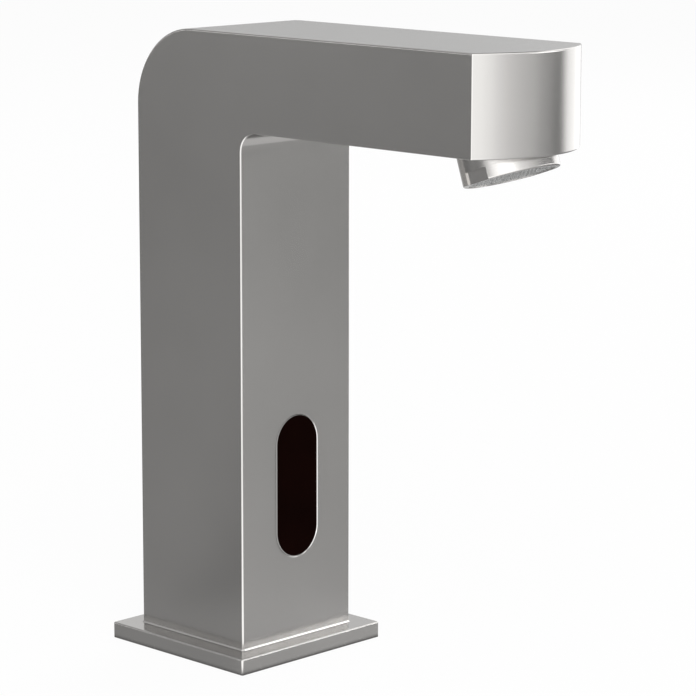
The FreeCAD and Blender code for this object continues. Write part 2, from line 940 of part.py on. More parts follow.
def core_holes():
    """Stud threads, the cable hole, and the holes for the plate, bracket and set screws."""
    below = -size.wall
    holes = []
    for side in (-1, 1):
        tag = "left" if side < 0 else "right"
        holes.append(cylinder(
            "stud_hole_" + tag, size.stud_radius, size.stud_depth - below,
            (side * size.stud_offset, -size.stud_forward, below),
        ))
        holes.append(cylinder(
            "bracket_hole_low_" + tag, size.machine_screw_radius + size.fit_gap,
            size.bracket_screw_length * 2,
            (side * size.bracket_screw_aside, bracket_screw_depth(),
             CORE_TOP + size.bracket_thick - size.bracket_screw_length),
        ))
        holes.append(cylinder(
            "set_screw_thread_" + tag, size.set_screw_radius + size.fit_gap, size.set_screw_length * 2,
            (side * size.set_screw_offset, set_screw_end(), size.set_screw_level), BACKWARD,
        ))
    for number, (x, y, z) in enumerate(plate_screw_places(), start=1):
        holes.append(cylinder(
            "core_screw_hole_%d" % number, size.machine_screw_radius + size.fit_gap,
            size.plate_screw_length + size.machine_head_height, (x, y, z),
        ))
    holes.append(cylinder(
        "cable_hole", size.grommet_radius + size.fit_gap, CORE_TOP * 2,
        (ZERO, -size.cable_forward, below),
    ))
    return holes


def cable_grommet():
    """A rubber sleeve with a lip on the core's top; the supply cable would pass through it."""
    outer = size.grommet_radius
    profile = [
        (size.grommet_bore, ZERO),
        (outer, ZERO),
        (outer, CORE_TOP),
        (outer + size.grommet_lip, CORE_TOP),
        (outer + size.grommet_lip, CORE_TOP + size.grommet_lip),
        (size.grommet_bore, CORE_TOP + size.grommet_lip),
    ]
    body = turned("cable_grommet", profile, (ZERO, -size.cable_forward, ZERO))
    return named(body, "cable_grommet")


def set_screw_end():
    return HALF_DEPTH - size.set_screw_inset - size.set_screw_length


def set_screws():
    blank = turned(
        "set_screw_blank",
        tube_profile(ZERO, size.set_screw_radius, -size.set_screw_length, ZERO),
    )
    drive = hexagon(
        "set_screw_drive", size.set_screw_hex, size.hex_depth * 4, (ZERO, ZERO, -size.hex_depth * 2)
    )
    master = cut("set_screw", blank, [drive])
    level = size.set_screw_level
    depth = HALF_DEPTH - size.set_screw_inset
    places = [(side * size.set_screw_offset, depth, level) for side in (-1, 1)]
    return copies("body_set_screws", master, places, BACKWARD)


# ---------------------------------------------------------------- inlet strainer and check valve


def inlet_strainer():
    """A cup hanging from a lip, its wall pierced by rows of round holes."""
    top = size.cartridge_floor
    low = top - size.strainer_drop
    inner = size.strainer_radius - size.strainer_wall
    profile = [
        (ZERO, low),
        (size.strainer_radius, low),
        (size.strainer_radius, top - size.strainer_lip),
        (size.cartridge_radius, top - size.strainer_lip),
        (size.cartridge_radius, top),
        (inner, top),
        (inner, low + size.strainer_wall),
        (ZERO, low + size.strainer_wall),
    ]
    cup = turned("strainer_cup", profile)
    doc.recompute()
    shape = cup.Shape
    spacing = (size.strainer_drop - size.strainer_lip).number / (STRAINER_ROWS + 1)
    for row in range(STRAINER_ROWS):
        level = low.number + spacing * (row + 1)
        for hole in range(STRAINER_HOLES):
            angle = 2 * math.pi * (hole + row / 2) / STRAINER_HOLES
            out = Vector(math.cos(angle), math.sin(angle), 0)
            start = out * (inner.number / 2) + Vector(0, 0, level)
            drill = Part.makeCylinder(size.strainer_hole.number, size.strainer_radius.number, start, out)
            shape = shape.cut(drill)
    item = doc.addObject("Part::Feature", "inlet_strainer")
    item.Shape = shape
    item.Placement = FreeCAD.Placement(vector(at(INLET_AXIS, ZERO)), FreeCAD.Rotation())
    return named(item, "inlet_strainer")


def check_valve_body():
    """A cartridge with a seat below, a spider with a guide hole above and a seal groove outside."""
    floor = size.cartridge_floor
    seat_top = floor + size.cartridge_seat_thick
    bore = size.cartridge_radius - size.cartridge_wall
    spider = CARTRIDGE_TOP - size.spider_thick
    groove = size.cartridge_radius - size.cartridge_ring * 2
    groove_top = CARTRIDGE_TOP - size.cartridge_rim
    profile = [
        (size.cartridge_seat_radius, floor),
        (size.cartridge_radius, floor),
        (size.cartridge_radius, groove_top - size.cartridge_groove),
        (groove, groove_top - size.cartridge_groove),
        (groove, groove_top),
        (size.cartridge_radius, groove_top),
        (size.cartridge_radius, CARTRIDGE_TOP),
        (size.poppet_stem + size.slide_gap, CARTRIDGE_TOP),
        (size.poppet_stem + size.slide_gap, spider),
        (bore, spider),
        (bore, seat_top),
        (size.cartridge_seat_radius, seat_top),
    ]
    shell = turned("cartridge_shell", profile, at(INLET_AXIS, ZERO))
    holes = [
        cylinder(
            "spider_hole_%d" % number, size.spider_hole, size.spider_thick * 3,
            (
                size.spider_ring * math.cos(2 * math.pi * number / SPIDER_HOLES),
                size.inlet_back + size.spider_ring * math.sin(2 * math.pi * number / SPIDER_HOLES),
                spider - size.spider_thick,
            ),
        )
        for number in range(SPIDER_HOLES)
    ]
    return named(cut("check_valve_body", shell, holes), "check_valve_body")


def poppet_top():
    return size.cartridge_floor + size.cartridge_seat_thick + size.poppet_thick


def check_valve_poppet():
    seat = size.cartridge_floor + size.cartridge_seat_thick
    profile = [
        (ZERO, seat),
        (size.poppet_radius, seat),
        (size.poppet_radius, poppet_top()),
        (size.poppet_stem, poppet_top()),
        (size.poppet_stem, CARTRIDGE_TOP - size.fit_gap),
        (ZERO, CARTRIDGE_TOP - size.fit_gap),
    ]
    body = turned("check_valve_poppet", profile, at(INLET_AXIS, ZERO))
    return named(body, "check_valve_poppet")


def check_valve_spring():
    return spring(
        "check_valve_spring", size.poppet_coil, size.poppet_wire,
        poppet_top(), CARTRIDGE_TOP - size.spider_thick, at(INLET_AXIS, ZERO),
    )


def check_valve_o_ring():
    level = CARTRIDGE_TOP - size.cartridge_rim - size.cartridge_groove / 2
    radius = size.cartridge_radius + size.fit_gap / 2 - size.cartridge_ring
    item = ring("check_valve_o_ring", radius, size.cartridge_ring, at(INLET_AXIS, level))
    return named(item, "check_valve_o_ring")


# ---------------------------------------------------------------- tubes


def riser_tube():
    body = turned(
        "riser_tube", tube_profile(size.riser_bore, size.riser_radius, RISER_FLOOR, RISER_TOP),
        at(INLET_AXIS, ZERO),
    )
    return named(body, "riser_tube")


def groove_middle(low, depth):
    return low + depth / 2


def riser_o_rings():
    radius = size.riser_radius + RING_RADIUS_GAP
    low = groove_middle(RISER_FLOOR, size.socket_depth)
    high = groove_middle(VALVE_FLOOR, size.socket_depth)
    rings = [
        ring("riser_ring_low", radius, size.ring_section, at(INLET_AXIS, low)),
        ring("riser_ring_high", radius, size.ring_section, at(INLET_AXIS, high)),
    ]
    return group("riser_o_rings", rings)


def outlet_tube():
    """From the valve up the column, round one bend and along the spout to the nose."""
    foot = VALVE_TOP - size.socket_depth
    points = [
        vector(at(OUTLET_AXIS, foot)),
        vector(at(OUTLET_AXIS, OUTLET_LEVEL)),
        vector((ZERO, -(PORT_FACE + size.port_socket), OUTLET_LEVEL)),
    ]
    path = pipe_path(points, [size.outlet_bend.number])
    outside = swept(path, size.outlet_radius.number)
    inside = swept(path, size.outlet_bore.number)
    item = doc.addObject("Part::Feature", "outlet_tube")
    item.Shape = outside.cut(inside)
    return named(item, "outlet_tube")


def outlet_o_rings():
    radius = size.outlet_radius + RING_RADIUS_GAP
    low = groove_middle(VALVE_TOP - size.socket_depth, size.socket_depth)
    depth = -(PORT_FACE + size.port_socket / 2)
    rings = [
        ring("outlet_ring_low", radius, size.ring_section, at(OUTLET_AXIS, low)),
        ring("outlet_ring_nose", radius, size.ring_section, (ZERO, depth, OUTLET_LEVEL), FORWARD),
    ]
    return group("outlet_o_rings", rings)


# ---------------------------------------------------------------- inner bracket


def bracket_front():
    return -LID_BACK


def bracket_screw_depth():
    return bracket_front() + size.bracket_screw_back


def inner_bracket():
    """A folded strip: a foot on the core, an upright behind the sensor, a shelf for the valve."""
    thick = size.bracket_thick
    upright = box(
        "bracket_upright", (-size.bracket_width / 2, bracket_front(), CORE_TOP),
        (size.bracket_width, thick, VALVE_FLOOR - CORE_TOP),
    )
    shelves = [
        box(
            "bracket_" + name, (-size.bracket_foot_width / 2, bracket_front(), level),
            (size.bracket_foot_width, size.bracket_foot_depth, thick),
        )
        for name, level in (("foot", CORE_TOP), ("shelf", VALVE_FLOOR - thick))
    ]
    holes = [
        cylinder(
            "bracket_hole_%s_%s" % (tag, name), size.machine_screw_radius + size.fit_gap, thick * 3,
            (side * size.bracket_screw_aside, bracket_screw_depth(), level - thick),
        )
        for tag, side in (("left", -1), ("right", 1))
        for name, level in (("foot", CORE_TOP), ("shelf", VALVE_FLOOR - thick))
    ]
    solid = fuse("inner_bracket", [upright, *shelves])
    return named(cut("inner_bracket", solid, holes), "inner_bracket")


def bracket_screws():
    """Two screws down through the foot and two up through the shelf."""
    master = screw(
        "bracket_screw", size.machine_screw_radius, size.bracket_screw_length,
        size.machine_head_radius, size.machine_head_height, size.machine_hex,
    )
    doc.recompute()
    reach = size.bracket_thick + size.machine_head_height
    solids = []
    for side in (-1, 1):
        for level, angle in ((CORE_TOP + reach, 0), (VALVE_FLOOR - reach, 180)):
            place = (side * size.bracket_screw_aside, bracket_screw_depth(), level)
            shape = master.Shape.copy()
            turn = FreeCAD.Rotation(X_AXIS, angle)
            shape.Placement = FreeCAD.Placement(vector(place), turn)
            solids.append(shape)
    item = doc.addObject("Part::Feature", "bracket_screws")
    item.Shape = Part.makeCompound(solids)
    return named(item, "bracket_screws")


# ---------------------------------------------------------------- valve


def valve_body():
    block = box(
        "valve_block", (-size.valve_width / 2, -VALVE_FRONT, VALVE_FLOOR),
        (size.valve_width, VALVE_FRONT + VALVE_REAR, size.valve_height),
    )
    chamber_floor = VALVE_TOP - size.chamber_depth
    over = VALVE_TOP + size.wall
    chamber = turned(
        "valve_chamber",
        [
            (size.seat_radius, chamber_floor),
            (size.chamber_radius, chamber_floor),
            (size.chamber_radius, over),
            (ZERO, over),
            (ZERO, SEAT_TOP),
            (size.seat_radius, SEAT_TOP),
        ],
        at(VALVE_AXIS, ZERO),
    )
    gallery_level = VALVE_FLOOR + size.gallery_rise
    seat_bore = cylinder(
        "seat_bore", size.outlet_bore, VALVE_TOP - gallery_level, at(VALVE_AXIS, gallery_level)
    )
    gallery = cylinder(
        "valve_gallery", size.outlet_bore, size.valve_back + OUTLET_FORWARD,
        at(VALVE_AXIS, gallery_level), FORWARD,
    )
    tools = [chamber, seat_bore, gallery, valve_inlet(chamber_floor), valve_outlet(gallery_level)]
    for side in (-1, 1):
        tag = "left" if side < 0 else "right"
        tools.append(cylinder(
            "shelf_screw_hole_" + tag, size.machine_screw_radius + size.fit_gap,
            size.bracket_screw_length,
            (side * size.bracket_screw_aside, bracket_screw_depth(),
             VALVE_FLOOR - size.bracket_thick),
        ))
    for number, (x, y, z) in enumerate(cover_screw_places(), start=1):
        tools.append(cylinder(
            "valve_screw_hole_%d" % number, size.cover_screw_radius + size.fit_gap,
            size.cover_screw_length * 2, (x, y, COVER_TOP - size.cover_screw_length),
        ))
    return named(cut("valve_body", block, tools), "valve_body")


def socket_with_groove(name, radius, bore, end, mouth, run, place):
    """A tube's socket from its end to its mouth, a seal groove, and a bore on to run."""
    fit = radius + size.fit_gap
    groove = radius + RING_RADIUS_GAP * 2
    out = 1 if mouth.number > end.number else -1
    centre = (end + mouth) / 2
    near = centre - out * size.ring_groove / 2
    far = centre + out * size.ring_groove / 2
    over = mouth + out * size.wall
    profile = [
        (ZERO, run),
        (bore, run),
        (bore, end),
        (fit, end),
        (fit, near),
        (groove, near),
        (groove, far),
        (fit, far),
        (fit, over),
        (ZERO, over),
    ]
    return turned(name, profile, place)


def valve_inlet(chamber_floor):
    return socket_with_groove(
        "valve_inlet", size.riser_radius, size.waterway - size.bleed_radius,
        RISER_TOP, VALVE_FLOOR, chamber_floor + size.fit_gap, at(INLET_AXIS, ZERO),
    )


def valve_outlet(gallery_level):
    return socket_with_groove(
        "valve_outlet", size.outlet_radius, size.outlet_bore,
        VALVE_TOP - size.socket_depth, VALVE_TOP, gallery_level, at(OUTLET_AXIS, ZERO),
    )


def cover_screw_places():
    aside = size.cover_width / 2 - size.cover_screw_edge
    along = size.cover_depth / 2 - size.cover_screw_edge
    return [
        (x_sign * aside, size.valve_back + y_sign * along, COVER_TOP)
        for x_sign in (-1, 1)
        for y_sign in (-1, 1)
    ]


def valve_cover():
    half_width = size.cover_width / 2
    half_depth = size.cover_depth / 2
    block = box(
        "cover_block", (-half_width, size.valve_back - half_depth, VALVE_TOP),
        (size.cover_width, size.cover_depth, size.cover_height),
    )
    flange_floor = COVER_TOP - size.sleeve_flange_thick
    groove_floor = flange_floor - size.ring_groove
    dome_top = VALVE_TOP + size.dome_depth
    profile = [
        (ZERO, VALVE_TOP - size.wall),
        (size.rim_radius + size.fit_gap, VALVE_TOP - size.wall),
        (size.rim_radius + size.fit_gap, VALVE_TOP + size.rim_thick),
        (size.dome_radius, VALVE_TOP + size.rim_thick),
        (size.dome_radius, dome_top),
        (SLEEVE_INNER, dome_top),
        (SLEEVE_INNER, groove_floor),
        (SLEEVE_OUTER + RING_RADIUS_GAP * 2, groove_floor),
        (SLEEVE_OUTER + RING_RADIUS_GAP * 2, flange_floor),
        (size.sleeve_flange + size.fit_gap, flange_floor),
        (size.sleeve_flange + size.fit_gap, COVER_TOP + size.wall),
        (ZERO, COVER_TOP + size.wall),
    ]
    recess = turned("cover_recess", profile, at(VALVE_AXIS, ZERO))
    holes = [
        cylinder(
            "cover_screw_hole_%d" % number, size.cover_screw_radius + size.fit_gap,
            size.cover_height * 3, (x, y, VALVE_TOP - size.cover_height),
        )
        for number, (x, y, z) in enumerate(cover_screw_places(), start=1)
    ]
    return named(cut("valve_cover", block, [recess, *holes]), "valve_cover")


def cover_screws():
    master = screw(
        "cover_screw", size.cover_screw_radius, size.cover_screw_length,
        size.cover_head_radius, size.cover_head_height, size.cover_hex,
    )
    places = [(x, y, z + size.cover_head_height) for x, y, z in cover_screw_places()]
    return copies("cover_screws", master, places)


def seat_washer():
    body = turned(
        "seat_washer",
        tube_profile(size.pilot_radius * 2, size.washer_radius, SEAT_TOP, DISC_FLOOR),
        at(VALVE_AXIS, ZERO),
    )
    return named(body, "seat_washer")


def diaphragm_disc():
    """The rigid middle of the diaphragm, with the pilot hole and one small bleed hole."""
    body = turned(
        "disc_blank", tube_profile(size.pilot_radius, size.disc_radius, DISC_FLOOR, DISC_TOP),
        at(VALVE_AXIS, ZERO),
    )
    bleed = cylinder(
        "bleed_hole", size.bleed_radius, size.disc_thick * 3,
        (size.washer_radius + size.bleed_radius / 2 - size.bleed_radius, size.valve_back,
         DISC_FLOOR - size.disc_thick),
    )
    return named(cut("diaphragm_disc", body, [bleed]), "diaphragm_disc")


def valve_diaphragm():
    """The rubber skirt: a rim clamped under the cover and a cone down to the disc."""
    inner = size.disc_radius + size.fit_gap
    low = DISC_FLOOR + size.fit_gap
    shoulder = size.chamber_radius - size.fit_gap
    profile = [
        (inner, low),
        (shoulder, VALVE_TOP),
        (size.rim_radius, VALVE_TOP),
        (size.rim_radius, VALVE_TOP + size.rim_thick),
        (size.dome_radius, VALVE_TOP + size.rim_thick),
        (inner, low + size.skirt_thick),
    ]
    body = turned("valve_diaphragm", profile, at(VALVE_AXIS, ZERO))
    return named(body, "valve_diaphragm")


# ---------------------------------------------------------------- solenoid


def core_sleeve():
    """The closed guide sleeve round the plunger, with a flange held under the yoke."""
    flange_floor = COVER_TOP - size.sleeve_flange_thick
    profile = [
        (SLEEVE_INNER, flange_floor),
        (size.sleeve_flange, flange_floor),
        (size.sleeve_flange, COVER_TOP),
        (SLEEVE_OUTER, COVER_TOP),
        (SLEEVE_OUTER, SLEEVE_TOP),
        (ZERO, SLEEVE_TOP),
        (ZERO, SLEEVE_TOP - size.sleeve_cap),
        (SLEEVE_INNER, SLEEVE_TOP - size.sleeve_cap),
    ]
    return named(turned("core_sleeve", profile, at(VALVE_AXIS, ZERO)), "core_sleeve")


def core_sleeve_o_ring():
    level = COVER_TOP - size.sleeve_flange_thick - size.ring_groove / 2
    radius = SLEEVE_OUTER + RING_RADIUS_GAP
    item = ring("core_sleeve_o_ring", radius, size.ring_section, at(VALVE_AXIS, level))
    return named(item, "core_sleeve_o_ring")


def fixed_core():
    body = turned(
        "fixed_core",
        tube_profile(ZERO, size.plunger_radius, STOP_FLOOR, SLEEVE_TOP - size.sleeve_cap),
        at(VALVE_AXIS, ZERO),
    )
    return named(body, "fixed_core")


def plunger():
    floor = PLUNGER_TOP - size.plunger_pocket
    profile = [
        (ZERO, PLUNGER_FLOOR),
        (size.plunger_radius, PLUNGER_FLOOR),
        (size.plunger_radius, PLUNGER_TOP),
        (size.plunger_pocket_radius, PLUNGER_TOP),
        (size.plunger_pocket_radius, floor),
        (ZERO, floor),
    ]
    return named(turned("plunger", profile, at(VALVE_AXIS, ZERO)), "plunger")


def plunger_tip():
    body = turned(
        "plunger_tip", tube_profile(ZERO, size.plunger_tip_radius, DISC_TOP, PLUNGER_FLOOR),
        at(VALVE_AXIS, ZERO),
    )
    return named(body, "plunger_tip")


def plunger_spring():
    return spring(
        "plunger_spring", size.plunger_coil, size.plunger_wire,
        PLUNGER_TOP - size.plunger_pocket, STOP_FLOOR, at(VALVE_AXIS, ZERO),
    )


def coil_bobbin():
    inner = SLEEVE_OUTER + size.slide_gap
    hub = inner + size.bobbin_hub
    low = BOBBIN_FLOOR + size.bobbin_flange
    high = BOBBIN_TOP - size.bobbin_flange
    profile = [
        (inner, BOBBIN_FLOOR),
        (size.bobbin_radius, BOBBIN_FLOOR),
        (size.bobbin_radius, low),
        (hub, low),
        (hub, high),
        (size.bobbin_radius, high),
        (size.bobbin_radius, BOBBIN_TOP),
        (inner, BOBBIN_TOP),
    ]
    spool = turned("bobbin_spool", profile, at(VALVE_AXIS, ZERO))
    near = size.bobbin_radius - size.terminal_depth / 2
    terminal = box(
        "coil_terminal", (-size.terminal_width / 2, size.valve_back + near, BOBBIN_FLOOR),
        (size.terminal_width, size.terminal_depth * 3 / 2, size.terminal_height),
    )
    space = cylinder(
        "terminal_trim", size.winding_radius + size.winding_gap, size.bobbin_length,
        at(VALVE_AXIS, low),
    )
    block = cut("coil_terminal_block", terminal, [space])
    return named(fuse("coil_bobbin", [spool, block]), "coil_bobbin")


def coil_winding():
    hub = SLEEVE_OUTER + size.slide_gap + size.bobbin_hub + size.winding_gap
    low = BOBBIN_FLOOR + size.bobbin_flange + size.winding_gap
    high = BOBBIN_TOP - size.bobbin_flange - size.winding_gap
    body = turned(
        "coil_winding", tube_profile(hub, size.winding_radius, low, high), at(VALVE_AXIS, ZERO)
    )
    return named(body, "coil_winding")


def coil_yoke():
    """A steel strap folded round the coil, open at the front and the back."""
    low = (-size.yoke_width / 2, size.valve_back - size.yoke_depth / 2, COVER_TOP)
    outer = box("yoke_outer", low, (size.yoke_width, size.yoke_depth, YOKE_TOP - COVER_TOP))
    inside = box(
        "yoke_inside",
        (low[0] + size.yoke_thick, low[1] - size.yoke_depth, COVER_TOP + size.yoke_thick),
        (size.yoke_width - size.yoke_thick * 2, size.yoke_depth * 3,
         YOKE_TOP - COVER_TOP - size.yoke_thick * 2),
    )
    hole = cylinder(
        "yoke_hole", SLEEVE_OUTER + size.slide_gap, (YOKE_TOP - COVER_TOP) * 2,
        at(VALVE_AXIS, COVER_TOP - size.wall),
    )
    return named(cut("coil_yoke", outer, [inside, hole]), "coil_yoke")


def latch_magnet():
    """The ring magnet that holds the plunger open between two short pulses."""
    body = turned(
        "latch_magnet",
        tube_profile(SLEEVE_OUTER + size.slide_gap, size.winding_radius,
                     BOBBIN_TOP, BOBBIN_TOP + size.magnet_thick),
        at(VALVE_AXIS, ZERO),
    )
    return named(body, "latch_magnet")


def coil_nut():
    blank = hexagon("coil_nut_blank", size.nut_radius, size.nut_thick, at(VALVE_AXIS, YOKE_TOP))
    hole = cylinder(
        "coil_nut_hole", SLEEVE_OUTER + size.fit_gap, size.nut_thick * 3,
        at(VALVE_AXIS, YOKE_TOP - size.nut_thick),
    )
    return named(cut("coil_nut", blank, [hole]), "coil_nut")


def coil_lead():
    """The short two-core lead from the sensor housing's side to the coil's terminal block."""
    terminal_back = size.valve_back + size.bobbin_radius + size.terminal_depth / 2
    level = BOBBIN_FLOOR + size.terminal_rise
    points = [
        vector((HOUSING_WIDTH / 2, -size.lead_forward, LEAD_LEVEL)),
        vector((LEAD_ASIDE, -size.lead_forward, LEAD_LEVEL)),
        vector((LEAD_ASIDE, terminal_back, level)),
        vector((size.terminal_width / 2, terminal_back, level)),
    ]
    bends = []
    for before, corner, after in zip(points, points[1:], points[2:]):
        back = before - corner
        ahead = after - corner
        shorter = min(back.Length, ahead.Length)
        bends.append(shorter * BEND_SHARE * math.tan(back.getAngle(ahead) / 2))
    item = doc.addObject("Part::Feature", "coil_lead")
    item.Shape = swept(pipe_path(points, bends), size.lead_radius.number)
    return named(item, "coil_lead")


# ---------------------------------------------------------------- sensor module


def sensor_window():
    """A dark lens: a plug that fills the slot and a flange behind the wall."""
    gap = size.window_gap * 2
    plug = upright_slot(
        "window_plug", size.window_width - gap, size.window_height - gap,
        HALF_DEPTH - size.window_inset, size.wall + size.seal_thick + size.flange_thick / 2,
        size.sensor_level,
    )
    lip = size.flange_lip * 2
    flange = upright_slot(
        "window_flange", size.window_width + lip, size.window_height + lip,
        INNER_FRONT - size.seal_thick, size.flange_thick, size.sensor_level,
    )
    return named(fuse("sensor_window", [plug, flange]), "sensor_window")


def window_gasket():
    lip = size.flange_lip * 2
    outer = upright_slot(
        "gasket_outer", size.window_width + lip, size.window_height + lip,
        INNER_FRONT, size.seal_thick, size.sensor_level,
    )
    inner = upright_slot(
        "gasket_inner", size.window_width, size.window_height,
        INNER_FRONT + size.wall, size.seal_thick + size.wall * 2, size.sensor_level,
    )
    return named(cut("window_gasket", outer, [inner]), "window_gasket")


def sensor_box(name, half_width, half_height, front, back):
    """A box centred on the window's axis, from y = -front back to y = -back."""
    return box(
        name, (-half_width, -front, size.sensor_level - half_height),
        (half_width * 2, front - back, half_height * 2),
    )


def sensor_housing():
    half_width = HOUSING_WIDTH / 2
    half_height = HOUSING_HEIGHT / 2
    wall = size.housing_wall
    outer = sensor_box("housing_outer", half_width, half_height, SENSOR_FRONT, HOUSING_BACK)
    room = sensor_box(
        "housing_room", half_width - wall, half_height - wall,
        SENSOR_FRONT - size.housing_front, HOUSING_BACK - size.housing_depth,
    )
    view = upright_slot(
        "housing_view", size.window_width, size.window_height,
        SENSOR_FRONT + size.wall, size.housing_front + size.wall * 2, size.sensor_level,
    )
    return named(cut("sensor_housing", outer, [room, view]), "sensor_housing")


def sensor_lid():
    """The back cover, with a rib inside that presses on the board's edge."""
    half_width = HOUSING_WIDTH / 2
    half_height = HOUSING_HEIGHT / 2
    rim = size.housing_wall + size.board_gap
    board_back = BOARD_FRONT - size.board_thick
    plate = sensor_box("lid_plate", half_width, half_height, HOUSING_BACK, LID_BACK)
    rib = sensor_box(
        "lid_rib_outer", half_width - rim, half_height - rim, board_back, HOUSING_BACK - size.lid_thick / 2
    )
    inset = rim + size.lid_rib
    room = sensor_box(
        "lid_rib_inner", half_width - inset, half_height - inset, board_back + size.wall, HOUSING_BACK
    )
    outlet = box(
        "lid_header_cut", header_low(size.board_gap),
        (size.header_width + size.board_gap * 2, size.housing_depth * 2,
         size.header_height + size.board_gap * 2),
    )
    solid = fuse("sensor_lid", [plate, rib])
    return named(cut("sensor_lid", solid, [room, outlet]), "sensor_lid")


def header_low(gap):
    return (
        size.header_aside - size.header_width / 2 - gap,
        -(BOARD_FRONT - size.board_thick),
        size.sensor_level - size.header_drop - size.header_height / 2 - gap,
    )


def sensor_board():
    half_width = HOUSING_WIDTH / 2 - size.housing_wall - size.board_gap
    half_height = HOUSING_HEIGHT / 2 - size.housing_wall - size.board_gap
    item = sensor_box(
        "sensor_board", half_width, half_height, BOARD_FRONT, BOARD_FRONT - size.board_thick
    )
    return named(item, "sensor_board")


def light_shroud():
    """A black block between lens and board, with a tube for each eye and the lamp."""
    gap = size.shroud_gap * 2
    block = upright_slot(
        "shroud_block", size.window_width - gap, size.window_height - gap,
        SENSOR_FRONT, size.board_setback, size.sensor_level,
    )
    tubes = [
        cylinder(
            "shroud_tube_" + name, radius, size.board_setback * 3,
            (ZERO, -BOARD_FRONT + size.board_setback, size.sensor_level + rise), FORWARD,
        )
        for name, radius, rise in (
            ("emitter", size.eye_tube, size.eye_offset),
            ("receiver", size.eye_tube, -size.eye_offset),
            ("lamp", size.lamp_tube, ZERO),
        )
    ]
    return named(cut("light_shroud", block, tubes), "light_shroud")


def eye(label, radius, length, rise):
    """A round light part on the board with a domed front."""
    place = (ZERO, -BOARD_FRONT, size.sensor_level + rise)
    stem = cylinder(label + "_stem", radius, length, place, FORWARD)
    dome = doc.addObject("Part::Sphere", label + "_dome")
    bind(dome, "Radius", radius)
    move(dome, (ZERO, -BOARD_FRONT - length, size.sensor_level + rise))
    return named(fuse(label, [stem, dome]), label)


def control_chip():
    half = size.chip_size / 2
    item = box(
        "control_chip",
        (-half, -(BOARD_FRONT - size.board_thick), size.sensor_level + size.chip_rise - half),
        (size.chip_size, size.chip_thick, size.chip_size),
    )
    return named(item, "control_chip")


def supply_header():
    item = box(
        "supply_header", header_low(ZERO), (size.header_width, size.header_depth, size.header_height)
    )
    return named(item, "supply_header")


# ---------------------------------------------------------------- aerator


def aerator_housing():
    """The collar, the thread above it and the bore for the insert. It has a spanner notch on each
    side, and is screwed home a few degrees past square."""
    body = new_body("aerator_housing")
    seat = size.grid_radius + size.fit_gap
    profile = [
        (seat, COLLAR_FLOOR),
        (size.collar_radius, COLLAR_FLOOR),
        (size.collar_radius, size.collar_sink),
        (size.thread_radius, size.collar_sink),
        (size.thread_radius, size.thread_top),
        (size.lip_radius, size.thread_top),
        (size.lip_radius, size.insert_top),
        (size.mouth_radius, size.insert_top),
        (size.mouth_radius, insert_floor()),
        (seat, insert_floor()),
    ]
    sketch = outline(body, "XZ_Plane", "collar_profile", profile)
    feature = body.newObject("PartDesign::Revolution", "collar_turning")
    feature.Profile = sketch
    feature.ReferenceAxis = (sketch, ["V_Axis"])
    feature.Angle = 360
    outer = size.collar_radius.number - size.collar_round.number
    floor = COLLAR_FLOOR.number

    def on_outer_rim(shape, edge):
        return edge.BoundBox.ZMax < floor + size.collar_round.number and edge.BoundBox.XMax > outer

    round_edges(body, "collar_rim_round", size.collar_round, on_outer_rim)
    half = size.notch_width / 2
    low = COLLAR_FLOOR - size.wall
    high = COLLAR_FLOOR + size.notch_height
    corners = [(-half, low), (half, low), (half, high), (-half, high)]
    for tag, side in (("right", 0), ("left", 180)):
        notch = outline(body, "YZ_Plane", "notch_" + tag, corners)
        angle = side - size.notch_turn.number
        notch.AttachmentOffset = FreeCAD.Placement(Vector(), FreeCAD.Rotation(Y_AXIS, angle))
        bind(notch, "AttachmentOffset.Base.x", size.flat_offset * math.sin(math.radians(angle)))
        bind(notch, "AttachmentOffset.Base.z", size.flat_offset * math.cos(math.radians(angle)))
        pocket_through(body, notch, True)
    return named(tilt(body), "aerator_housing")


def insert_floor():
    return COLLAR_FLOOR + size.grid_inset + size.grid_thick


def aerator_insert():
    """The jet former: a cup, open below, with a ring of holes in its roof."""
    outer = size.mouth_radius - size.fit_gap
    inner = outer - size.insert_wall
    roof = size.insert_top - size.insert_roof
    body = turned(
        "aerator_insert",
        [
            (inner, insert_floor()),
            (outer, insert_floor()),
            (outer, size.insert_top),
            (ZERO, size.insert_top),
            (ZERO, roof),
            (inner, roof),
        ],
    )
    ring_pocket(body, "jet", size.insert_ring, size.insert_hole)
    return named(tilt(body), "aerator_insert")


def ring_pocket(body, name, ring_radius, hole_radius):
    """Drills a ring of round holes along the body's axis."""
    sketch = body.newObject("Sketcher::SketchObject", name + "_hole")
    sketch.AttachmentSupport = [(plane(body, "XY_Plane"), "")]
    sketch.MapMode = "FlatFace"
    circle = Part.Circle(vector((ring_radius, ZERO, ZERO)), Z_AXIS, hole_radius.number)
    index = sketch.addGeometry(circle)
    pin(sketch, index, 3, "DistanceX", ring_radius)
    pin(sketch, index, 3, "DistanceY", ZERO)
    rule = sketch.addConstraint(Sketcher.Constraint("Radius", index, hole_radius.number))
    sketch.setExpression("Constraints[%d]" % rule, hole_radius.text)
    hole = pocket_through(body, sketch, True)
    pattern = body.newObject("PartDesign::PolarPattern", name + "_ring")
    pattern.Originals = [hole]
    pattern.Axis = (sketch, ["N_Axis"])
    pattern.Angle = 360
    pattern.Occurrences = JET_HOLES
    body.Tip = pattern
    return pattern


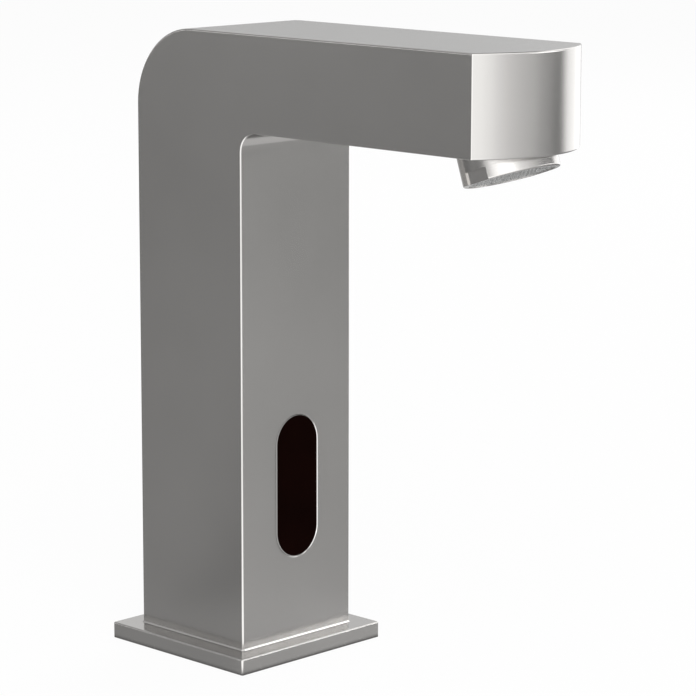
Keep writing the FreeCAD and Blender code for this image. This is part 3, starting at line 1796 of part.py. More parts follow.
def aerator_grid():
    """The mesh at the mouth: a disc with square holes and narrow bars, set cornerwise."""
    radius = size.grid_radius.number
    pitch = size.grid_pitch.number
    hole = pitch - size.grid_bar.number
    band = radius - size.grid_rim.number
    reach = int(radius / pitch)
    rim = Part.Wire(Part.makeCircle(radius))
    holes = []
    for column in range(-reach, reach + 1):
        for row in range(-reach, reach + 1):
            x = column * pitch
            y = row * pitch
            if math.hypot(abs(x) + hole / 2, abs(y) + hole / 2) > band:
                continue
            corner = Vector(x - hole / 2, y - hole / 2, 0)
            square = Part.makePlane(hole, hole, corner).OuterWire
            square.reverse()
            holes.append(square)
    face = Part.Face([rim, *holes])
    item = doc.addObject("Part::Feature", "aerator_grid")
    item.Shape = face.extrude(Vector(0, 0, size.grid_thick.number))
    low = (COLLAR_FLOOR + size.grid_inset).number
    mouth = vector((ZERO, -AERATOR_REACH, SPOUT_FLOOR))
    tilted = FreeCAD.Placement(mouth, tilted_turn())
    turn = FreeCAD.Rotation(Z_AXIS, size.grid_turn.number)
    item.Placement = tilted * FreeCAD.Placement(Vector(0, 0, low), turn)
    return named(item, "aerator_grid")


def flow_regulator():
    body = turned(
        "flow_regulator",
        tube_profile(ZERO, size.lip_radius - size.fit_gap, size.insert_top, size.thread_top),
    )
    ring_pocket(body, "flow", size.regulator_ring, size.regulator_hole)
    return named(tilt(body), "flow_regulator")


def aerator_seal():
    body = turned(
        "aerator_seal", tube_profile(size.seal_bore, size.thread_radius, size.thread_top, SOCKET_TOP)
    )
    return named(tilt(body), "aerator_seal")


# ---------------------------------------------------------------- the whole tap


def build():
    write_sheet()
    for make in (
        base_plate, deck_gasket, base_core, plate_screws, set_screws, cable_grommet,
        inlet_strainer, check_valve_body, check_valve_poppet, check_valve_spring, check_valve_o_ring,
        riser_tube, riser_o_rings, outlet_tube, outlet_o_rings, inner_bracket, bracket_screws,
        valve_body, valve_cover, cover_screws, seat_washer, diaphragm_disc, valve_diaphragm,
        core_sleeve, core_sleeve_o_ring, fixed_core, plunger, plunger_tip, plunger_spring,
        coil_bobbin, coil_winding, coil_yoke, latch_magnet, coil_nut, coil_lead,
        sensor_window, window_gasket, sensor_housing, sensor_lid, sensor_board, light_shroud,
        control_chip, supply_header, aerator_housing, aerator_insert, aerator_grid,
        flow_regulator, aerator_seal, tap_body,
    ):
        make()
    eye("ir_emitter", size.eye_radius, size.eye_length, size.eye_offset)
    eye("ir_receiver", size.eye_radius, size.eye_length, -size.eye_offset)
    eye("status_lamp", size.lamp_radius, size.lamp_length, ZERO)
    doc.recompute()


def check():
    for item in doc.Objects:
        if "Invalid" in item.State or "Error" in item.State:
            raise RuntimeError(item.Label + " failed to recompute")
    for item in finished:
        if item.Shape.isNull() or not item.Shape.isValid() or not item.Shape.Solids:
            raise RuntimeError(item.Label + " has no valid solid")


def write():
    os.makedirs("parts", exist_ok=True)
    for item in finished:
        item.Shape.exportStep(os.path.join("parts", item.Label + ".step"))
        print(item.Label, len(item.Shape.Solids), "solid(s)", round(item.Shape.Volume, 2), "mm3")


build()
check()
write()
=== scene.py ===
import json
import math

import bmesh
import bpy
from mathutils import Matrix, Vector


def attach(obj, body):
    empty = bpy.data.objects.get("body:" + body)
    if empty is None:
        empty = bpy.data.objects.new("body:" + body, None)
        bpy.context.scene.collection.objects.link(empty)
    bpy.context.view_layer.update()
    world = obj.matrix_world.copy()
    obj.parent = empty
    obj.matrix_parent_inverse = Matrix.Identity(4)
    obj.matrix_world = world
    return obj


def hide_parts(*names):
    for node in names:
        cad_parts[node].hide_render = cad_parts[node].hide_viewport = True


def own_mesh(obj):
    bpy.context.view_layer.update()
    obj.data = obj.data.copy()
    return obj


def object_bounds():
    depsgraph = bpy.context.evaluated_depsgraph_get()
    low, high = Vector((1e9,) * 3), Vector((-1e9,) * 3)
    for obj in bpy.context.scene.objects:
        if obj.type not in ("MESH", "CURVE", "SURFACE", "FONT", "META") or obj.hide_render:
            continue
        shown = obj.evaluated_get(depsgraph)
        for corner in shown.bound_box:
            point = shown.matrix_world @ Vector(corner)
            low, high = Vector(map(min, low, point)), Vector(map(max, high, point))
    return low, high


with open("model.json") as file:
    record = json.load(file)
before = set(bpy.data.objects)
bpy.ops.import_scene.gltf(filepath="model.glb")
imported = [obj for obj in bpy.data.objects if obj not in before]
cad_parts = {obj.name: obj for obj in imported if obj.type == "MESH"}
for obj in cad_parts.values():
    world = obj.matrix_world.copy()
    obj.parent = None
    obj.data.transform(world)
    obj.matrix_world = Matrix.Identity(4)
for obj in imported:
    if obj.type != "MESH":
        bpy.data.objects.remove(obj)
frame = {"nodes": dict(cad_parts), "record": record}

# Sensor tap, in metres: +Z is up, the spout points to -Y and the origin is the middle of the base
# plate's underside. The solids come from the frame and keep their shape. This script gives them their
# finish, sets copies of the springs and the diaphragm in place of the frame's own, and sets up the
# camera and the studio. Azimuths are in degrees from -Y towards +X.

CAD_LOW, CAD_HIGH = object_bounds()
NODES = frame["nodes"]
WHITE = (1.0, 1.0, 1.0, 1.0)


def link(item):
    bpy.context.scene.collection.objects.link(item)


def toward(azimuth, elevation):
    """The direction in which something stands from the tap."""
    turn, rise = math.radians(azimuth), math.radians(elevation)
    return Vector((
        math.sin(turn) * math.cos(rise), -math.cos(turn) * math.cos(rise), math.sin(rise),
    ))


# ---------------------------------------------------------------- camera

# Solved from the photograph together with the tap's proportions.
CAMERA_PLACE = Vector((-0.53197, -0.56081, 0.22724))
CAMERA_AZIMUTH = -45.5122
CAMERA_ELEVATION = 10.835
CAMERA_ROLL = 0.1079
LENS = 153.62  # millimetres, as the sensor's width is
SENSOR = 36.0
CLIP_START = 0.01


def add_camera():
    azimuth, roll = math.radians(CAMERA_AZIMUTH), math.radians(CAMERA_ROLL)
    back = toward(CAMERA_AZIMUTH, CAMERA_ELEVATION)
    level = Vector((math.cos(azimuth), math.sin(azimuth), 0))
    above = back.cross(level)
    right = level * math.cos(roll) + above * math.sin(roll)
    up = above * math.cos(roll) - level * math.sin(roll)
    camera = bpy.data.objects.new("camera", bpy.data.cameras.new("camera"))
    camera.data.lens = LENS
    camera.data.sensor_width = SENSOR
    camera.data.clip_start = CLIP_START
    turn = Matrix((right, up, back)).transposed().to_4x4()
    camera.matrix_world = Matrix.Translation(CAMERA_PLACE) @ turn
    link(camera)
    bpy.context.scene.camera = camera


# ---------------------------------------------------------------- node helpers

MIX_FACTOR, MIX_FIRST, MIX_SECOND, MIX_RESULT = 0, 6, 7, 2  # a Mix node's sockets for colours
EDGE_SAMPLES = 6


class Graph:
    """A material's or the world's node tree, with short ways to add and link nodes."""

    def __init__(self, owner):
        owner.use_nodes = True
        self.tree = owner.node_tree
        self.tree.nodes.clear()

    def add(self, kind, inputs=None, **fields):
        node = self.tree.nodes.new(kind)
        for field, value in fields.items():
            setattr(node, field, value)
        for socket, value in (inputs or {}).items():
            self.put(node.inputs[socket], value)
        return node

    def put(self, socket, value):
        if isinstance(value, bpy.types.NodeSocket):
            self.tree.links.new(value, socket)
        else:
            socket.default_value = value

    def math(self, operation, *values):
        return self.add("ShaderNodeMath", dict(enumerate(values)), operation=operation).outputs[0]

    def place(self):
        return self.add("ShaderNodeTexCoord").outputs["Object"]

    def normal(self):
        return self.add("ShaderNodeNewGeometry").outputs["Normal"]

    def axes(self, vector):
        """The vector's X, Y and Z."""
        return self.add("ShaderNodeSeparateXYZ", {0: vector}).outputs

    def stretched(self, place, scale):
        return self.add("ShaderNodeMapping", {"Vector": place, "Scale": scale}).outputs[0]

    def noise(self, place, scale, detail=2.0, roughness=0.55):
        return self.add("ShaderNodeTexNoise", {
            "Vector": place, "Scale": scale, "Detail": detail, "Roughness": roughness,
        }).outputs[0]

    def spread(self, value, low, high, start=0.3, end=0.7):
        """Maps a value from start..end, which is where most noise lies, to low..high."""
        return self.add("ShaderNodeMapRange", {
            "Value": value, "From Min": start, "From Max": end, "To Min": low, "To Max": high,
        }).outputs[0]

    def mixed(self, amount, first, second):
        """A number part of the way from the first to the second."""
        return self.math("MULTIPLY_ADD", self.math("SUBTRACT", second, first), amount, first)

    def over(self, amount, base, colour):
        """Lays a plain colour over a linked one."""
        node = self.add("ShaderNodeMix", data_type="RGBA")
        self.put(node.inputs[MIX_FACTOR], amount)
        self.put(node.inputs[MIX_FIRST], base)
        self.put(node.inputs[MIX_SECOND], (*colour, 1.0))
        return node.outputs[MIX_RESULT]

    def tints(self, amount, first, second):
        """A colour part of the way from the first plain one to the second."""
        return self.over(amount, (*first, 1.0), second)

    def clouded(self, cloud, colour, dark, light):
        """The colour, drifting with the cloud between a darker and a lighter shade of itself."""
        return self.tints(self.spread(cloud, 0.0, 1.0), shade(colour, dark), shade(colour, light))

    def streaked(self, tone, lines, most, colour):
        """Lays at most so much of a colour along the lines."""
        return self.over(self.spread(lines, 0.0, most, start=0.35, end=0.75), tone, colour)

    def edge_wear_and_sheen(self, tone, lightened_edges, most, colour):
        """Lays at most so much of a colour on the edges: wear on moulded plastic, a painted highlight
        on metal.
        """
        return self.over(self.math("MULTIPLY", lightened_edges, most), tone, colour)

    def bump(self, height, distance, strength):
        inputs = {"Height": height, "Distance": distance, "Strength": strength}
        return self.add("ShaderNodeBump", inputs).outputs[0]

    def edge(self, radius):
        """1 on the sharpest edges and 0 on flat faces."""
        bevel = self.add("ShaderNodeBevel", {"Radius": radius}, samples=EDGE_SAMPLES).outputs[0]
        dot = self.add("ShaderNodeVectorMath", {0: bevel, 1: self.normal()}, operation="DOT_PRODUCT")
        return self.spread(dot.outputs["Value"], 1.0, 0.0, start=0.8, end=0.99)

    def surface(self, inputs):
        self.finish(self.add("ShaderNodeBsdfPrincipled", inputs).outputs[0])

    def finish(self, shader):
        self.add("ShaderNodeOutputMaterial", {"Surface": shader})


def shade(colour, factor):
    return tuple(min(channel * factor, 1.0) for channel in colour)


def new_material(name):
    material = bpy.data.materials.new(name)
    return material, Graph(material)


# ---------------------------------------------------------------- finishes

NICKEL = (0.462, 0.452, 0.440)
STEEL = (0.52, 0.515, 0.505)
FINE_EDGE_WEAR_AND_SHEEN = 0.0003  # how far from an edge small pieces are lightened: wear on moulded plastic, a painted highlight on turned metal
SPECK_SCALE = 2600.0
SPECK_HEIGHT = 0.25  # next to the brush lines' height
EDGE_POLISH = 0.05  # how much less rough an edge of satin metal is, where its highlight is painted
RUBBED_GREY = 0.6  # moulded edges go this share of the way to this grey
RUBBED_SHARE = 0.15

# The dark part of the sensor window: its middle across and up, half its straight length, its radius,
# how softly its border begins, and its two shades.
GLASS_MIDDLE = (0.0002, 0.0452)
GLASS_STRAIGHT = 0.01165
GLASS_RADIUS = 0.0072
GLASS_EDGE = 0.00005
GLASS_DARK = (0.0036, 0.0009, 0.0006)
GLASS_LIGHT = (0.0056, 0.0014, 0.0009)

RESIST_GREEN = (0.008, 0.075, 0.028)
TRACK_GREEN = (0.03, 0.17, 0.06)
STAIN_GREEN = (0.01, 0.06, 0.03)


def satin_metal(name, colour, rough, grain, highlight_radius=0.0006):
    """Satin metal: long fine brush lines along one direction, faint cloudy tone and a painted
    highlight on the edges.
    """
    material, g = new_material(name)
    place = g.place()
    upright, lying = (
        g.noise(g.stretched(place, scale), 1.0, detail=4.0, roughness=0.6)
        for scale in (grain, (grain[0], grain[2], grain[1]))
    )
    slope = g.math("ABSOLUTE", g.axes(g.normal())[2])
    lines = g.mixed(g.spread(slope, 0.0, 1.0, start=0.55, end=0.8), upright, lying)
    specks = g.noise(place, SPECK_SCALE, detail=1.0)
    lightened_edges = g.edge(highlight_radius)
    tone = g.clouded(g.noise(place, scale=22.0), colour, dark=0.965, light=1.035)
    tone = g.streaked(tone, lines, most=0.05, colour=shade(colour, 0.82))
    # painted highlight: the edges are lightened towards 1.7 times the colour
    tone = g.edge_wear_and_sheen(tone, lightened_edges, most=0.8, colour=shade(colour, 1.7))
    uneven = g.spread(specks, low=-0.008, high=0.008)
    gloss = g.math("ADD", g.spread(lines, low=rough - 0.01, high=rough + 0.015), uneven)
    gloss = g.math("SUBTRACT", gloss, g.math("MULTIPLY", lightened_edges, EDGE_POLISH))
    height = g.math("ADD", lines, g.math("MULTIPLY", specks, SPECK_HEIGHT))
    g.surface({
        "Base Color": tone, "Metallic": 1.0, "Roughness": gloss,
        "Normal": g.bump(height, distance=0.0000006, strength=0.3),
    })
    return material


def turned_metal(name, colour, rough, rings, centre=(0.0, 0.0, 0.0), lean=0.0):
    """Lathe-turned metal: fine rings round an axis through the centre, upright or leaning about X."""
    material, g = new_material(name)
    away = tuple(-value for value in centre)
    moved = g.add("ShaderNodeMapping", {"Vector": g.place(), "Location": away}).outputs[0]
    turn = g.add("ShaderNodeVectorRotate", {"Vector": moved, "Axis": (1.0, 0.0, 0.0), "Angle": lean})
    across, along, height = g.axes(turn.outputs[0])
    squares = g.math("ADD", g.math("MULTIPLY", across, across), g.math("MULTIPLY", along, along))
    spot = g.add("ShaderNodeCombineXYZ", {0: g.math("SQRT", squares), 1: height}).outputs[0]
    lines = g.noise(spot, rings, detail=3.0, roughness=0.6)
    lightened_edges = g.edge(FINE_EDGE_WEAR_AND_SHEEN)
    tone = g.clouded(g.noise(g.place(), scale=60.0), colour, dark=0.94, light=1.05)
    tone = g.streaked(tone, lines, most=0.25, colour=shade(colour, 0.8))
    # painted highlight: the edges are lightened towards 1.2 times the colour
    tone = g.edge_wear_and_sheen(tone, lightened_edges, most=0.4, colour=shade(colour, 1.2))
    g.surface({
        "Base Color": tone, "Metallic": 1.0,
        "Roughness": g.spread(lines, low=rough - 0.03, high=rough + 0.05),
        "Normal": g.bump(lines, distance=0.000006, strength=0.5),
    })
    return material


def moulded(name, colour, rough, grain=1500.0, depth=0.000012):
    """Moulded plastic or rubber: a fine pebbled skin, uneven gloss and a little dust in the tone."""
    material, g = new_material(name)
    place = g.place()
    pebbles = g.noise(place, grain)
    light = tuple(channel * (1.0 - RUBBED_SHARE) + RUBBED_SHARE * RUBBED_GREY for channel in colour)
    tone = g.clouded(g.noise(place, scale=90.0, detail=3.0), colour, dark=0.93, light=1.07)
    tone = g.edge_wear_and_sheen(tone, g.edge(FINE_EDGE_WEAR_AND_SHEEN), most=0.35, colour=light)
    g.surface({
        "Base Color": tone, "Roughness": g.spread(pebbles, low=rough - 0.06, high=rough + 0.06),
        "Normal": g.bump(pebbles, depth, strength=0.6),
    })
    return material


def wound(name, colour, rough):
    """Enamelled wire laid turn by turn round the coil's axis, with painted shade in the grooves
    between the turns.
    """
    material, g = new_material(name)
    place = g.place()
    turns = g.add("ShaderNodeTexWave", {
        "Vector": place, "Scale": 1300.0, "Distortion": 0.6, "Detail": 1.0, "Detail Scale": 0.4,
    }, wave_type="BANDS", bands_direction="Z").outputs["Fac"]
    cloud = g.noise(place, scale=300.0)
    # painted shade: the grooves between the turns darken to 0.45 of the colour
    tone = g.tints(turns, shade(colour, 0.45), colour)
    tone = g.over(g.spread(cloud, low=0.0, high=0.25), tone, shade(colour, 0.7))
    g.surface({
        "Base Color": tone, "Metallic": 1.0,
        "Roughness": g.spread(cloud, low=rough - 0.05, high=rough + 0.08),
        "Coat Weight": 0.4, "Coat Roughness": 0.15,
        "Normal": g.bump(turns, distance=0.00006, strength=0.8),
    })
    return material


def lens_glass(name):
    """The infrared-passing window: nearly black with a trace of red, in a thin metal border whose
    lighter tone is a painted highlight of the rim's bevel.
    """
    material, g = new_material(name)
    place = g.place()
    sides = g.axes(place)
    across = g.math("SUBTRACT", sides[0], GLASS_MIDDLE[0])
    along = g.math("ABSOLUTE", g.math("SUBTRACT", sides[2], GLASS_MIDDLE[1]))
    along = g.math("MAXIMUM", g.math("SUBTRACT", along, GLASS_STRAIGHT), 0.0)
    squares = g.math("ADD", g.math("MULTIPLY", across, across), g.math("MULTIPLY", along, along))
    border = g.spread(
        g.math("SQRT", squares), 0.0, 1.0, start=GLASS_RADIUS, end=GLASS_RADIUS + GLASS_EDGE,
    )
    streaks = g.noise(g.stretched(place, (900.0, 900.0, 60.0)), 1.0)
    cloud = g.spread(g.noise(place, scale=70.0), 0.0, 1.0)
    # the border is metal, lightened to 1.25 times the nickel as a painted highlight of the bevel
    tone = g.over(border, g.tints(cloud, GLASS_DARK, GLASS_LIGHT), shade(NICKEL, 1.25))
    g.surface({
        "Base Color": tone, "Metallic": border, "Roughness": g.spread(streaks, low=0.10, high=0.16),
        "IOR": 1.49, "Specular IOR Level": 0.008,
        "Normal": g.bump(streaks, distance=0.0000008, strength=0.3),
    })
    return material


def circuit_board(name):
    """Solder resist with copper tracks under it."""
    material, g = new_material(name)
    place = g.place()
    cells = g.add("ShaderNodeTexVoronoi", {
        "Vector": place, "Scale": 620.0, "Randomness": 0.35,
    }, feature="DISTANCE_TO_EDGE", distance="EUCLIDEAN")
    tracks = g.spread(cells.outputs["Distance"], 1.0, 0.0, start=0.06, end=0.1)
    cloud = g.noise(place, scale=200.0)
    tone = g.tints(tracks, RESIST_GREEN, TRACK_GREEN)
    tone = g.over(g.spread(cloud, low=0.0, high=0.2), tone, STAIN_GREEN)
    g.surface({
        "Base Color": tone, "Roughness": g.spread(cloud, low=0.28, high=0.42),
        "Normal": g.bump(tracks, distance=0.00003, strength=0.6),
    })
    return material


def tinted_epoxy(name, colour):
    """The clear coloured casting of a light or a light sensor."""
    material, g = new_material(name)
    cloud = g.noise(g.place(), scale=700.0)
    g.surface({
        "Base Color": g.clouded(cloud, colour, dark=0.8, light=1.1),
        "Roughness": g.spread(cloud, low=0.06, high=0.14), "IOR": 1.52,
        "Coat Weight": 0.6, "Coat Roughness": 0.04,
        "Normal": g.bump(cloud, distance=0.000002, strength=0.3),
    })
    return material


# Grain: how many noise cells per metre along X, along Y and along Z.
FINISHES = {
    "satin_metal": (satin_metal, dict(colour=NICKEL, rough=0.18, grain=(5200.0, 5200.0, 160.0))),
    "collar_metal": (turned_metal, dict(
        colour=NICKEL, rough=0.2, rings=5200.0,
        centre=(0.0, -0.0913, 0.1398), lean=math.radians(18.47),
    )),
    "black_rubber": (moulded, dict(
        colour=(0.024, 0.024, 0.025), rough=0.62, grain=1100.0, depth=0.00002,
    )),
    "brass": (turned_metal, dict(colour=(0.72, 0.53, 0.25), rough=0.26, rings=2600.0)),
    "screw_steel": (turned_metal, dict(colour=STEEL, rough=0.3, rings=3600.0)),
    "mesh_steel": (satin_metal, dict(
        colour=(0.44, 0.44, 0.435), rough=0.3, grain=(2500.0, 2500.0, 2500.0), highlight_radius=0.00008,
    )),
    "white_plastic": (moulded, dict(colour=(0.80, 0.80, 0.77), rough=0.42)),
    "grey_plastic": (moulded, dict(colour=(0.36, 0.37, 0.38), rough=0.46)),
    "black_plastic": (moulded, dict(colour=(0.026, 0.026, 0.029), rough=0.44)),
    "tube_steel": (satin_metal, dict(
        colour=STEEL, rough=0.28, grain=(2600.0, 2600.0, 120.0), highlight_radius=0.0003,
    )),
    "spring_steel": (satin_metal, dict(
        colour=STEEL, rough=0.26, grain=(1800.0, 1800.0, 1800.0), highlight_radius=0.0001,
    )),
    "copper_wire": (wound, dict(colour=(0.73, 0.32, 0.15), rough=0.3)),
    "yoke_steel": (satin_metal, dict(
        colour=(0.40, 0.40, 0.37), rough=0.38, grain=(900.0, 3000.0, 900.0), highlight_radius=0.0004,
    )),
    "magnet": (moulded, dict(colour=(0.075, 0.075, 0.08), rough=0.55, grain=2200.0, depth=0.00002)),
    "dark_lens": (lens_glass, dict()),
    "circuit_board": (circuit_board, dict()),
    "eye_plastic": (tinted_epoxy, dict(colour=(0.045, 0.03, 0.09))),
    "lamp_plastic": (tinted_epoxy, dict(colour=(0.65, 0.09, 0.05))),
}


def dress_nodes():
    finishes = {name: make(name, **look) for name, (make, look) in FINISHES.items()}
    for part in frame["record"]["subparts"]:
        piece = NODES[part["node"]]
        finish = finishes[part["material_slot"]]
        if not piece.material_slots:
            piece.data.materials.append(finish)
        for place in piece.material_slots:
            place.material = finish


# ---------------------------------------------------------------- the springs and the diaphragm

# The springs and the diaphragm: joint, its travel, and the levels of the moving and the fixed end.
SOFT_PIECES = (
    ("check_valve_spring", "check_valve_slide", 0.002, 0.0162, 0.0248),
    ("plunger_spring", "plunger_slide", 0.002, 0.099175, 0.106175),
    ("valve_diaphragm", "diaphragm_slide", 0.0012, 0.084925, 0.087075),
)


def add_soft_piece(node, joint, travel, moving_end, fixed_end):
    """A copy of the frame's piece, attached to the tap in place of the original, which is hidden."""
    source = NODES[node]
    piece = bpy.data.objects.new(node + "_soft", source.data.copy())
    piece.matrix_world = source.matrix_world
    link(piece)
    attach(piece, "tap")
    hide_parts(node)
    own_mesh(piece)


# ---------------------------------------------------------------- studio

# How bright the studio looks from the tap at each azimuth: on the floor by the plate (foot) and
# further out (floor), what the soft box adds to the floor on the camera's side (lamp), level with
# the tap (horizon), and in bands above that up to straight overhead (zenith). Bright cards stand
# on the camera's side and on the right. At the tap's own level the back is dim.
FOOT_LEVELS = (
    (-180.0, 0.3), (-135.0, 0.40), (-60.0, 0.41), (-30.0, 0.60), (45.0, 0.64), (60.0, 0.5),
    (75.0, 0.25), (105.0, 0.3), (120.0, 0.8), (148.0, 0.8), (165.0, 0.3), (180.0, 0.28),
)
FLOOR_LEVELS = (
    (-180.0, 0.2), (-150.0, 0.32), (-135.0, 0.40), (-120.0, 0.30), (-100.0, 0.3), (-45.0, 0.4),
    (5.0, 0.6), (25.0, 0.62), (45.0, 0.56), (60.0, 0.40), (75.0, 0.25), (105.0, 0.3),
    (120.0, 0.8), (148.0, 0.8), (165.0, 0.2), (180.0, 0.2),
)
LAMP_LEVELS = (
    (-180.0, 0.0), (-106.0, 0.0), (-88.0, 1.7), (-25.0, 1.7), (-8.0, 0.7), (8.0, 0.2), (30.0, 0.0),
    (180.0, 0.0),
)
HORIZON_LEVELS = (
    (-180.0, 0.12), (-150.0, 0.26), (-135.0, 0.38), (-122.0, 0.3), (-108.0, 0.3), (-95.0, 1.1),
    (-80.0, 2.1), (-60.0, 2.25), (-45.0, 2.15), (-30.0, 1.8), (-18.0, 1.60), (-8.0, 1.30),
    (2.0, 1.10), (12.0, 0.95), (23.0, 0.80), (35.0, 0.56), (47.0, 0.42), (56.0, 0.29),
    (61.0, 0.38), (67.0, 1.08), (74.0, 1.7), (88.0, 1.85), (105.0, 2.1), (117.0, 0.76),
    (134.0, 0.70), (146.0, 0.5), (160.0, 0.2), (180.0, 0.12),
)
LOW_SKY_LEVELS = (
    (-180.0, 0.4), (-160.0, 1.7), (-145.0, 2.8), (-115.0, 2.4), (-96.0, 1.7), (-80.0, 2.3),
    (-62.0, 3.3), (-40.0, 3.1), (0.0, 1.6), (18.0, 2.4), (32.0, 9.0), (58.0, 9.0), (66.0, 1.8),
    (75.0, 2.0), (105.0, 2.0), (117.0, 0.9), (134.0, 0.50), (150.0, 0.45), (180.0, 0.4),
)
MID_SKY_LEVELS = (
    (-180.0, 0.12), (-148.0, 0.2), (-135.0, 0.4), (-112.0, 0.4), (-90.0, 1.6), (-72.0, 2.4),
    (-60.0, 2.9), (-44.0, 2.9), (-33.0, 1.9), (-20.0, 1.35), (6.0, 0.85), (30.0, 0.50),
    (46.0, 0.33), (58.0, 0.1), (70.0, 0.1), (79.0, 1.6), (105.0, 2.0), (117.0, 0.8),
    (134.0, 0.88), (145.0, 1.0), (155.0, 0.4), (180.0, 0.1),
)
SKY_LEVELS = (
    (-180.0, 0.7), (-160.0, 0.5), (-147.0, 0.3), (-135.0, 0.25), (-100.0, 0.9), (-45.0, 1.8),
    (0.0, 2.2), (45.0, 2.3), (100.0, 2.3), (112.0, 1.2), (125.0, 0.25), (138.0, 0.3),
    (148.0, 0.8), (180.0, 0.7),
)
HIGH_LEVELS = (
    (-180.0, 1.0), (-150.0, 0.9), (-120.0, 0.6), (-60.0, 1.8), (24.0, 1.8), (50.0, 0.6),
    (75.0, 0.3), (130.0, 0.15), (150.0, 0.3), (180.0, 1.0),
)
ZENITH_LEVELS = ((-180.0, 0.6), (180.0, 0.6))
# Each table takes over from the one before it between these two elevations. The horizon is first.
SKY_FADES = (
    (LOW_SKY_LEVELS, 5.5, 9.0),
    (MID_SKY_LEVELS, 11.4, 14.0),
    (SKY_LEVELS, 27.0, 34.0),
    (HIGH_LEVELS, 43.0, 50.0),
    (ZENITH_LEVELS, 68.0, 84.0),
)
CONTACT_LEVEL = 0.17  # on the floor right against the plate: painted shade for the contact shadow that the plate's lower edges mirror
# Between these two distances from the tap's middle the floor's levels change: from the contact to the
# foot, from the foot to the floor, and from the floor to the horizon. The lamp comes in between its
# two distances towards the camera, just beyond the plate. The rings go from square to round.
FOOT_FADE = (0.0255, 0.0275)
FLOOR_FADE = (0.045, 0.09)
HORIZON_FADE = (0.4, 0.72)
LAMP_FADE = (0.0365, 0.0425)
ROUND_FADE = (0.03, 0.06)

SURROUND_FLOOR = 0.00005
SURROUND_RADIUS = 2.0
SURROUND_STEPS = 120
FLOOR_RADII = (
    0.012, 0.0255, 0.0265, 0.0275, 0.029, 0.031, 0.034, 0.038, 0.043, 0.05, 0.06, 0.08, 0.12, 0.18,
    0.25, 0.35, 0.5, 0.6, 0.7, 0.8, 1.2,
)
DOME_ANGLES = (
    0.0, 2.0, 4.0, 5.5, 6.5, 7.5, 8.5, 10.0, 11.5, 12.5, 13.5, 15.0, 17.0, 19.0, 22.0, 26.0, 30.0,
    33.0, 36.0, 40.0, 43.0, 46.0, 50.0, 56.0, 62.0, 70.0, 78.0, 84.0, 89.0,
)

# The small card in front of the column, just under the throat: its near edge's depth and level,
# half its width, its length, its fall along that length and its brightness.
CARD_DEPTH = -0.0205
CARD_LEVEL = 0.1356
CARD_HALF_WIDTH = 0.0197
CARD_LENGTH = 0.03
CARD_FALL = 0.122
CARD_BRIGHTNESS = 0.85

ROOM_BRIGHTNESS = 0.62
FLOOR_REACH = 8.0
FLOOR_SHADES = ((0.90, 0.90, 0.90), (0.93, 0.93, 0.93))
FLOOR_WHITE_SHARE = 0.93  # how much of the floor that the camera sees is the plain background


def eased(value, low, high):
    part = min(max((value - low) / (high - low), 0.0), 1.0)
    return part * part * (3.0 - 2.0 * part)


def read_level(levels, azimuth):
    for (low, first), (high, second) in zip(levels, levels[1:]):
        if azimuth <= high:
            return first + (second - first) * eased(azimuth, low, high)
    return levels[-1][1]


def squareness(azimuth, radius):
    """How much further out a ring is than its nearest side: the rings by the plate are square."""
    angle = math.radians(azimuth)
    corner = 1.0 / max(abs(math.sin(angle)), abs(math.cos(angle)))
    return 1.0 + (corner - 1.0) * (1.0 - eased(radius, *ROUND_FADE))


def floor_level(azimuth, radius):
    foot = read_level(FOOT_LEVELS, azimuth)
    level = CONTACT_LEVEL + (foot - CONTACT_LEVEL) * eased(radius, *FOOT_FADE)
    level += (read_level(FLOOR_LEVELS, azimuth) - level) * eased(radius, *FLOOR_FADE)
    ahead = radius * squareness(azimuth, radius) * math.cos(math.radians(azimuth - CAMERA_AZIMUTH))
    level += read_level(LAMP_LEVELS, azimuth) * eased(ahead, *LAMP_FADE)
    return level + (read_level(HORIZON_LEVELS, azimuth) - level) * eased(radius, *HORIZON_FADE)


def dome_level(azimuth, elevation):
    level = read_level(HORIZON_LEVELS, azimuth)
    for levels, start, end in SKY_FADES:
        level += (read_level(levels, azimuth) - level) * eased(elevation, start, end)
    return level


def surround_rings():
    """(radius, height, level by azimuth) of each ring, along the floor and up over the tap."""
    rings = []
    for radius in FLOOR_RADII:
        rings.append((radius, SURROUND_FLOOR, lambda azimuth, r=radius: floor_level(azimuth, r)))
    for angle in DOME_ANGLES:
        turn = math.radians(angle)
        rings.append((
            SURROUND_RADIUS * math.cos(turn), SURROUND_FLOOR + SURROUND_RADIUS * math.sin(turn),
            lambda azimuth, e=angle: dome_level(azimuth, e),
        ))
    return rings


def show_in_reflections_only(card, material):
    link(card)
    for ray in ("camera", "diffuse", "transmission", "volume_scatter", "shadow"):
        setattr(card, "visible_" + ray, False)
    material.cycles.emission_sampling = "NONE"
    card.data.materials.append(material)


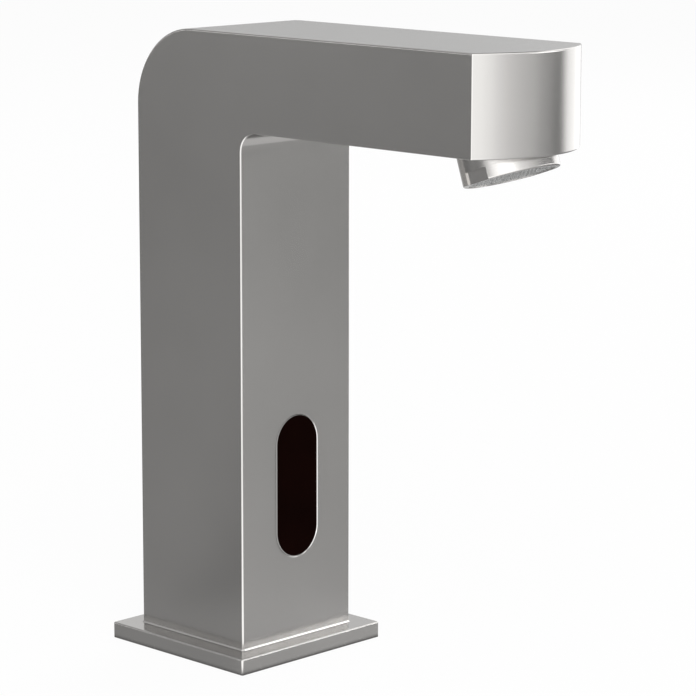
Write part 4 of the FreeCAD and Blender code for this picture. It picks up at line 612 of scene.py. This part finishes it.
def add_surround():
    """Reflector cards round the tap: they show in metal and gloss, and the camera looks past them."""
    build = bmesh.new()
    tone = build.loops.layers.float_color.new("level")
    rows = []
    for radius, height, level_at in surround_rings():
        row = []
        for step in range(SURROUND_STEPS):
            azimuth = -180.0 + 360.0 * step / SURROUND_STEPS
            angle = math.radians(azimuth)
            reach = radius * squareness(azimuth, radius)
            spot = (reach * math.sin(angle), -reach * math.cos(angle), height)
            row.append((build.verts.new(spot), level_at(azimuth)))
        rows.append(row)
    for low, high in zip(rows, rows[1:]):
        for step in range(SURROUND_STEPS):
            after = (step + 1) % SURROUND_STEPS
            corners = (low[step], low[after], high[after], high[step])
            face = build.faces.new([vertex for vertex, level in corners])
            for loop, (vertex, level) in zip(face.loops, corners):
                loop[tone] = (level, level, level, 1.0)
    mesh = bpy.data.meshes.new("studio_surround")
    build.to_mesh(mesh)
    build.free()
    material, g = new_material("studio_surround")
    level = g.add("ShaderNodeVertexColor", layer_name="level").outputs[0]
    g.finish(g.add("ShaderNodeEmission", {"Color": level}).outputs[0])
    show_in_reflections_only(bpy.data.objects.new("studio_surround", mesh), material)


def flat_card(name, corners):
    mesh = bpy.data.meshes.new(name)
    mesh.from_pydata(corners, [], [(0, 1, 2, 3)])
    return bpy.data.objects.new(name, mesh)


def add_throat_card():
    """A reflector below the throat's curve. Its top shines, and from below it is clear."""
    turn = math.radians(-CAMERA_AZIMUTH)
    run = Vector((math.sin(turn), -math.cos(turn), -CARD_FALL)) * CARD_LENGTH
    left = Vector((-CARD_HALF_WIDTH, CARD_DEPTH, CARD_LEVEL))
    right = Vector((CARD_HALF_WIDTH, CARD_DEPTH, CARD_LEVEL))
    material, g = new_material("studio_card")
    backfacing = g.add("ShaderNodeNewGeometry").outputs["Backfacing"]
    light = g.add("ShaderNodeEmission", {"Strength": CARD_BRIGHTNESS}).outputs[0]
    clear = g.add("ShaderNodeBsdfTransparent").outputs[0]
    g.finish(g.add("ShaderNodeMixShader", {0: backfacing, 1: light, 2: clear}).outputs[0])
    card = flat_card("studio_card", [left, left + run, right + run, right])
    show_in_reflections_only(card, material)


def background_ray(g):
    """1 for the rays that should meet a plain white background."""
    path = g.add("ShaderNodeLightPath").outputs
    seen = g.math("MAXIMUM", path["Is Camera Ray"], path["Is Glossy Ray"])
    return g.math("MAXIMUM", seen, path["Is Transmission Ray"])


def add_world():
    world = bpy.data.worlds.new("studio")
    bpy.context.scene.world = world
    g = Graph(world)
    room, white = (
        g.add("ShaderNodeBackground", {"Color": WHITE, "Strength": strength}).outputs[0]
        for strength in (ROOM_BRIGHTNESS, 1.0)
    )
    mixed = g.add("ShaderNodeMixShader", {0: background_ray(g), 1: room, 2: white}).outputs[0]
    g.add("ShaderNodeOutputWorld", {"Surface": mixed})


def add_floor():
    """A pale floor that meets the white background and keeps a soft shadow."""
    sides = ((-1, -1), (1, -1), (1, 1), (-1, 1))
    floor = flat_card("floor", [(x * FLOOR_REACH, y * FLOOR_REACH, 0.0) for x, y in sides])
    link(floor)
    material, g = new_material("floor")
    tone = g.tints(g.noise(g.place(), scale=3.0), *FLOOR_SHADES)
    matt = g.add("ShaderNodeBsdfDiffuse", {"Color": tone}).outputs[0]
    white = g.add("ShaderNodeEmission", {"Color": WHITE}).outputs[0]
    share = g.math("MULTIPLY", background_ray(g), FLOOR_WHITE_SHARE)
    g.finish(g.add("ShaderNodeMixShader", {0: share, 1: matt, 2: white}).outputs[0])
    floor.data.materials.append(material)


def add_lamp(name, azimuth, elevation, distance, size, power):
    """A square soft box that faces the middle of the tap."""
    lamp = bpy.data.lights.new(name, "AREA")
    lamp.shape = "SQUARE"
    lamp.size = size
    lamp.energy = power
    item = bpy.data.objects.new(name, lamp)
    direction = toward(azimuth, elevation)
    item.location = (CAD_LOW + CAD_HIGH) / 2 + direction * distance
    item.rotation_euler = direction.to_track_quat("Z", "Y").to_euler()
    item.visible_glossy = False
    link(item)


def set_studio():
    bpy.context.scene.view_settings.view_transform = "Standard"
    add_world()
    add_floor()
    add_surround()
    add_throat_card()
    add_lamp("key_lamp", azimuth=-35.0, elevation=40.0, distance=1.4, size=0.9, power=9.0)
    add_lamp("side_lamp", azimuth=110.0, elevation=35.0, distance=1.6, size=0.9, power=6.0)


# ---------------------------------------------------------------- the whole scene

add_camera()
dress_nodes()
for details in SOFT_PIECES:
    add_soft_piece(*details)
set_studio()
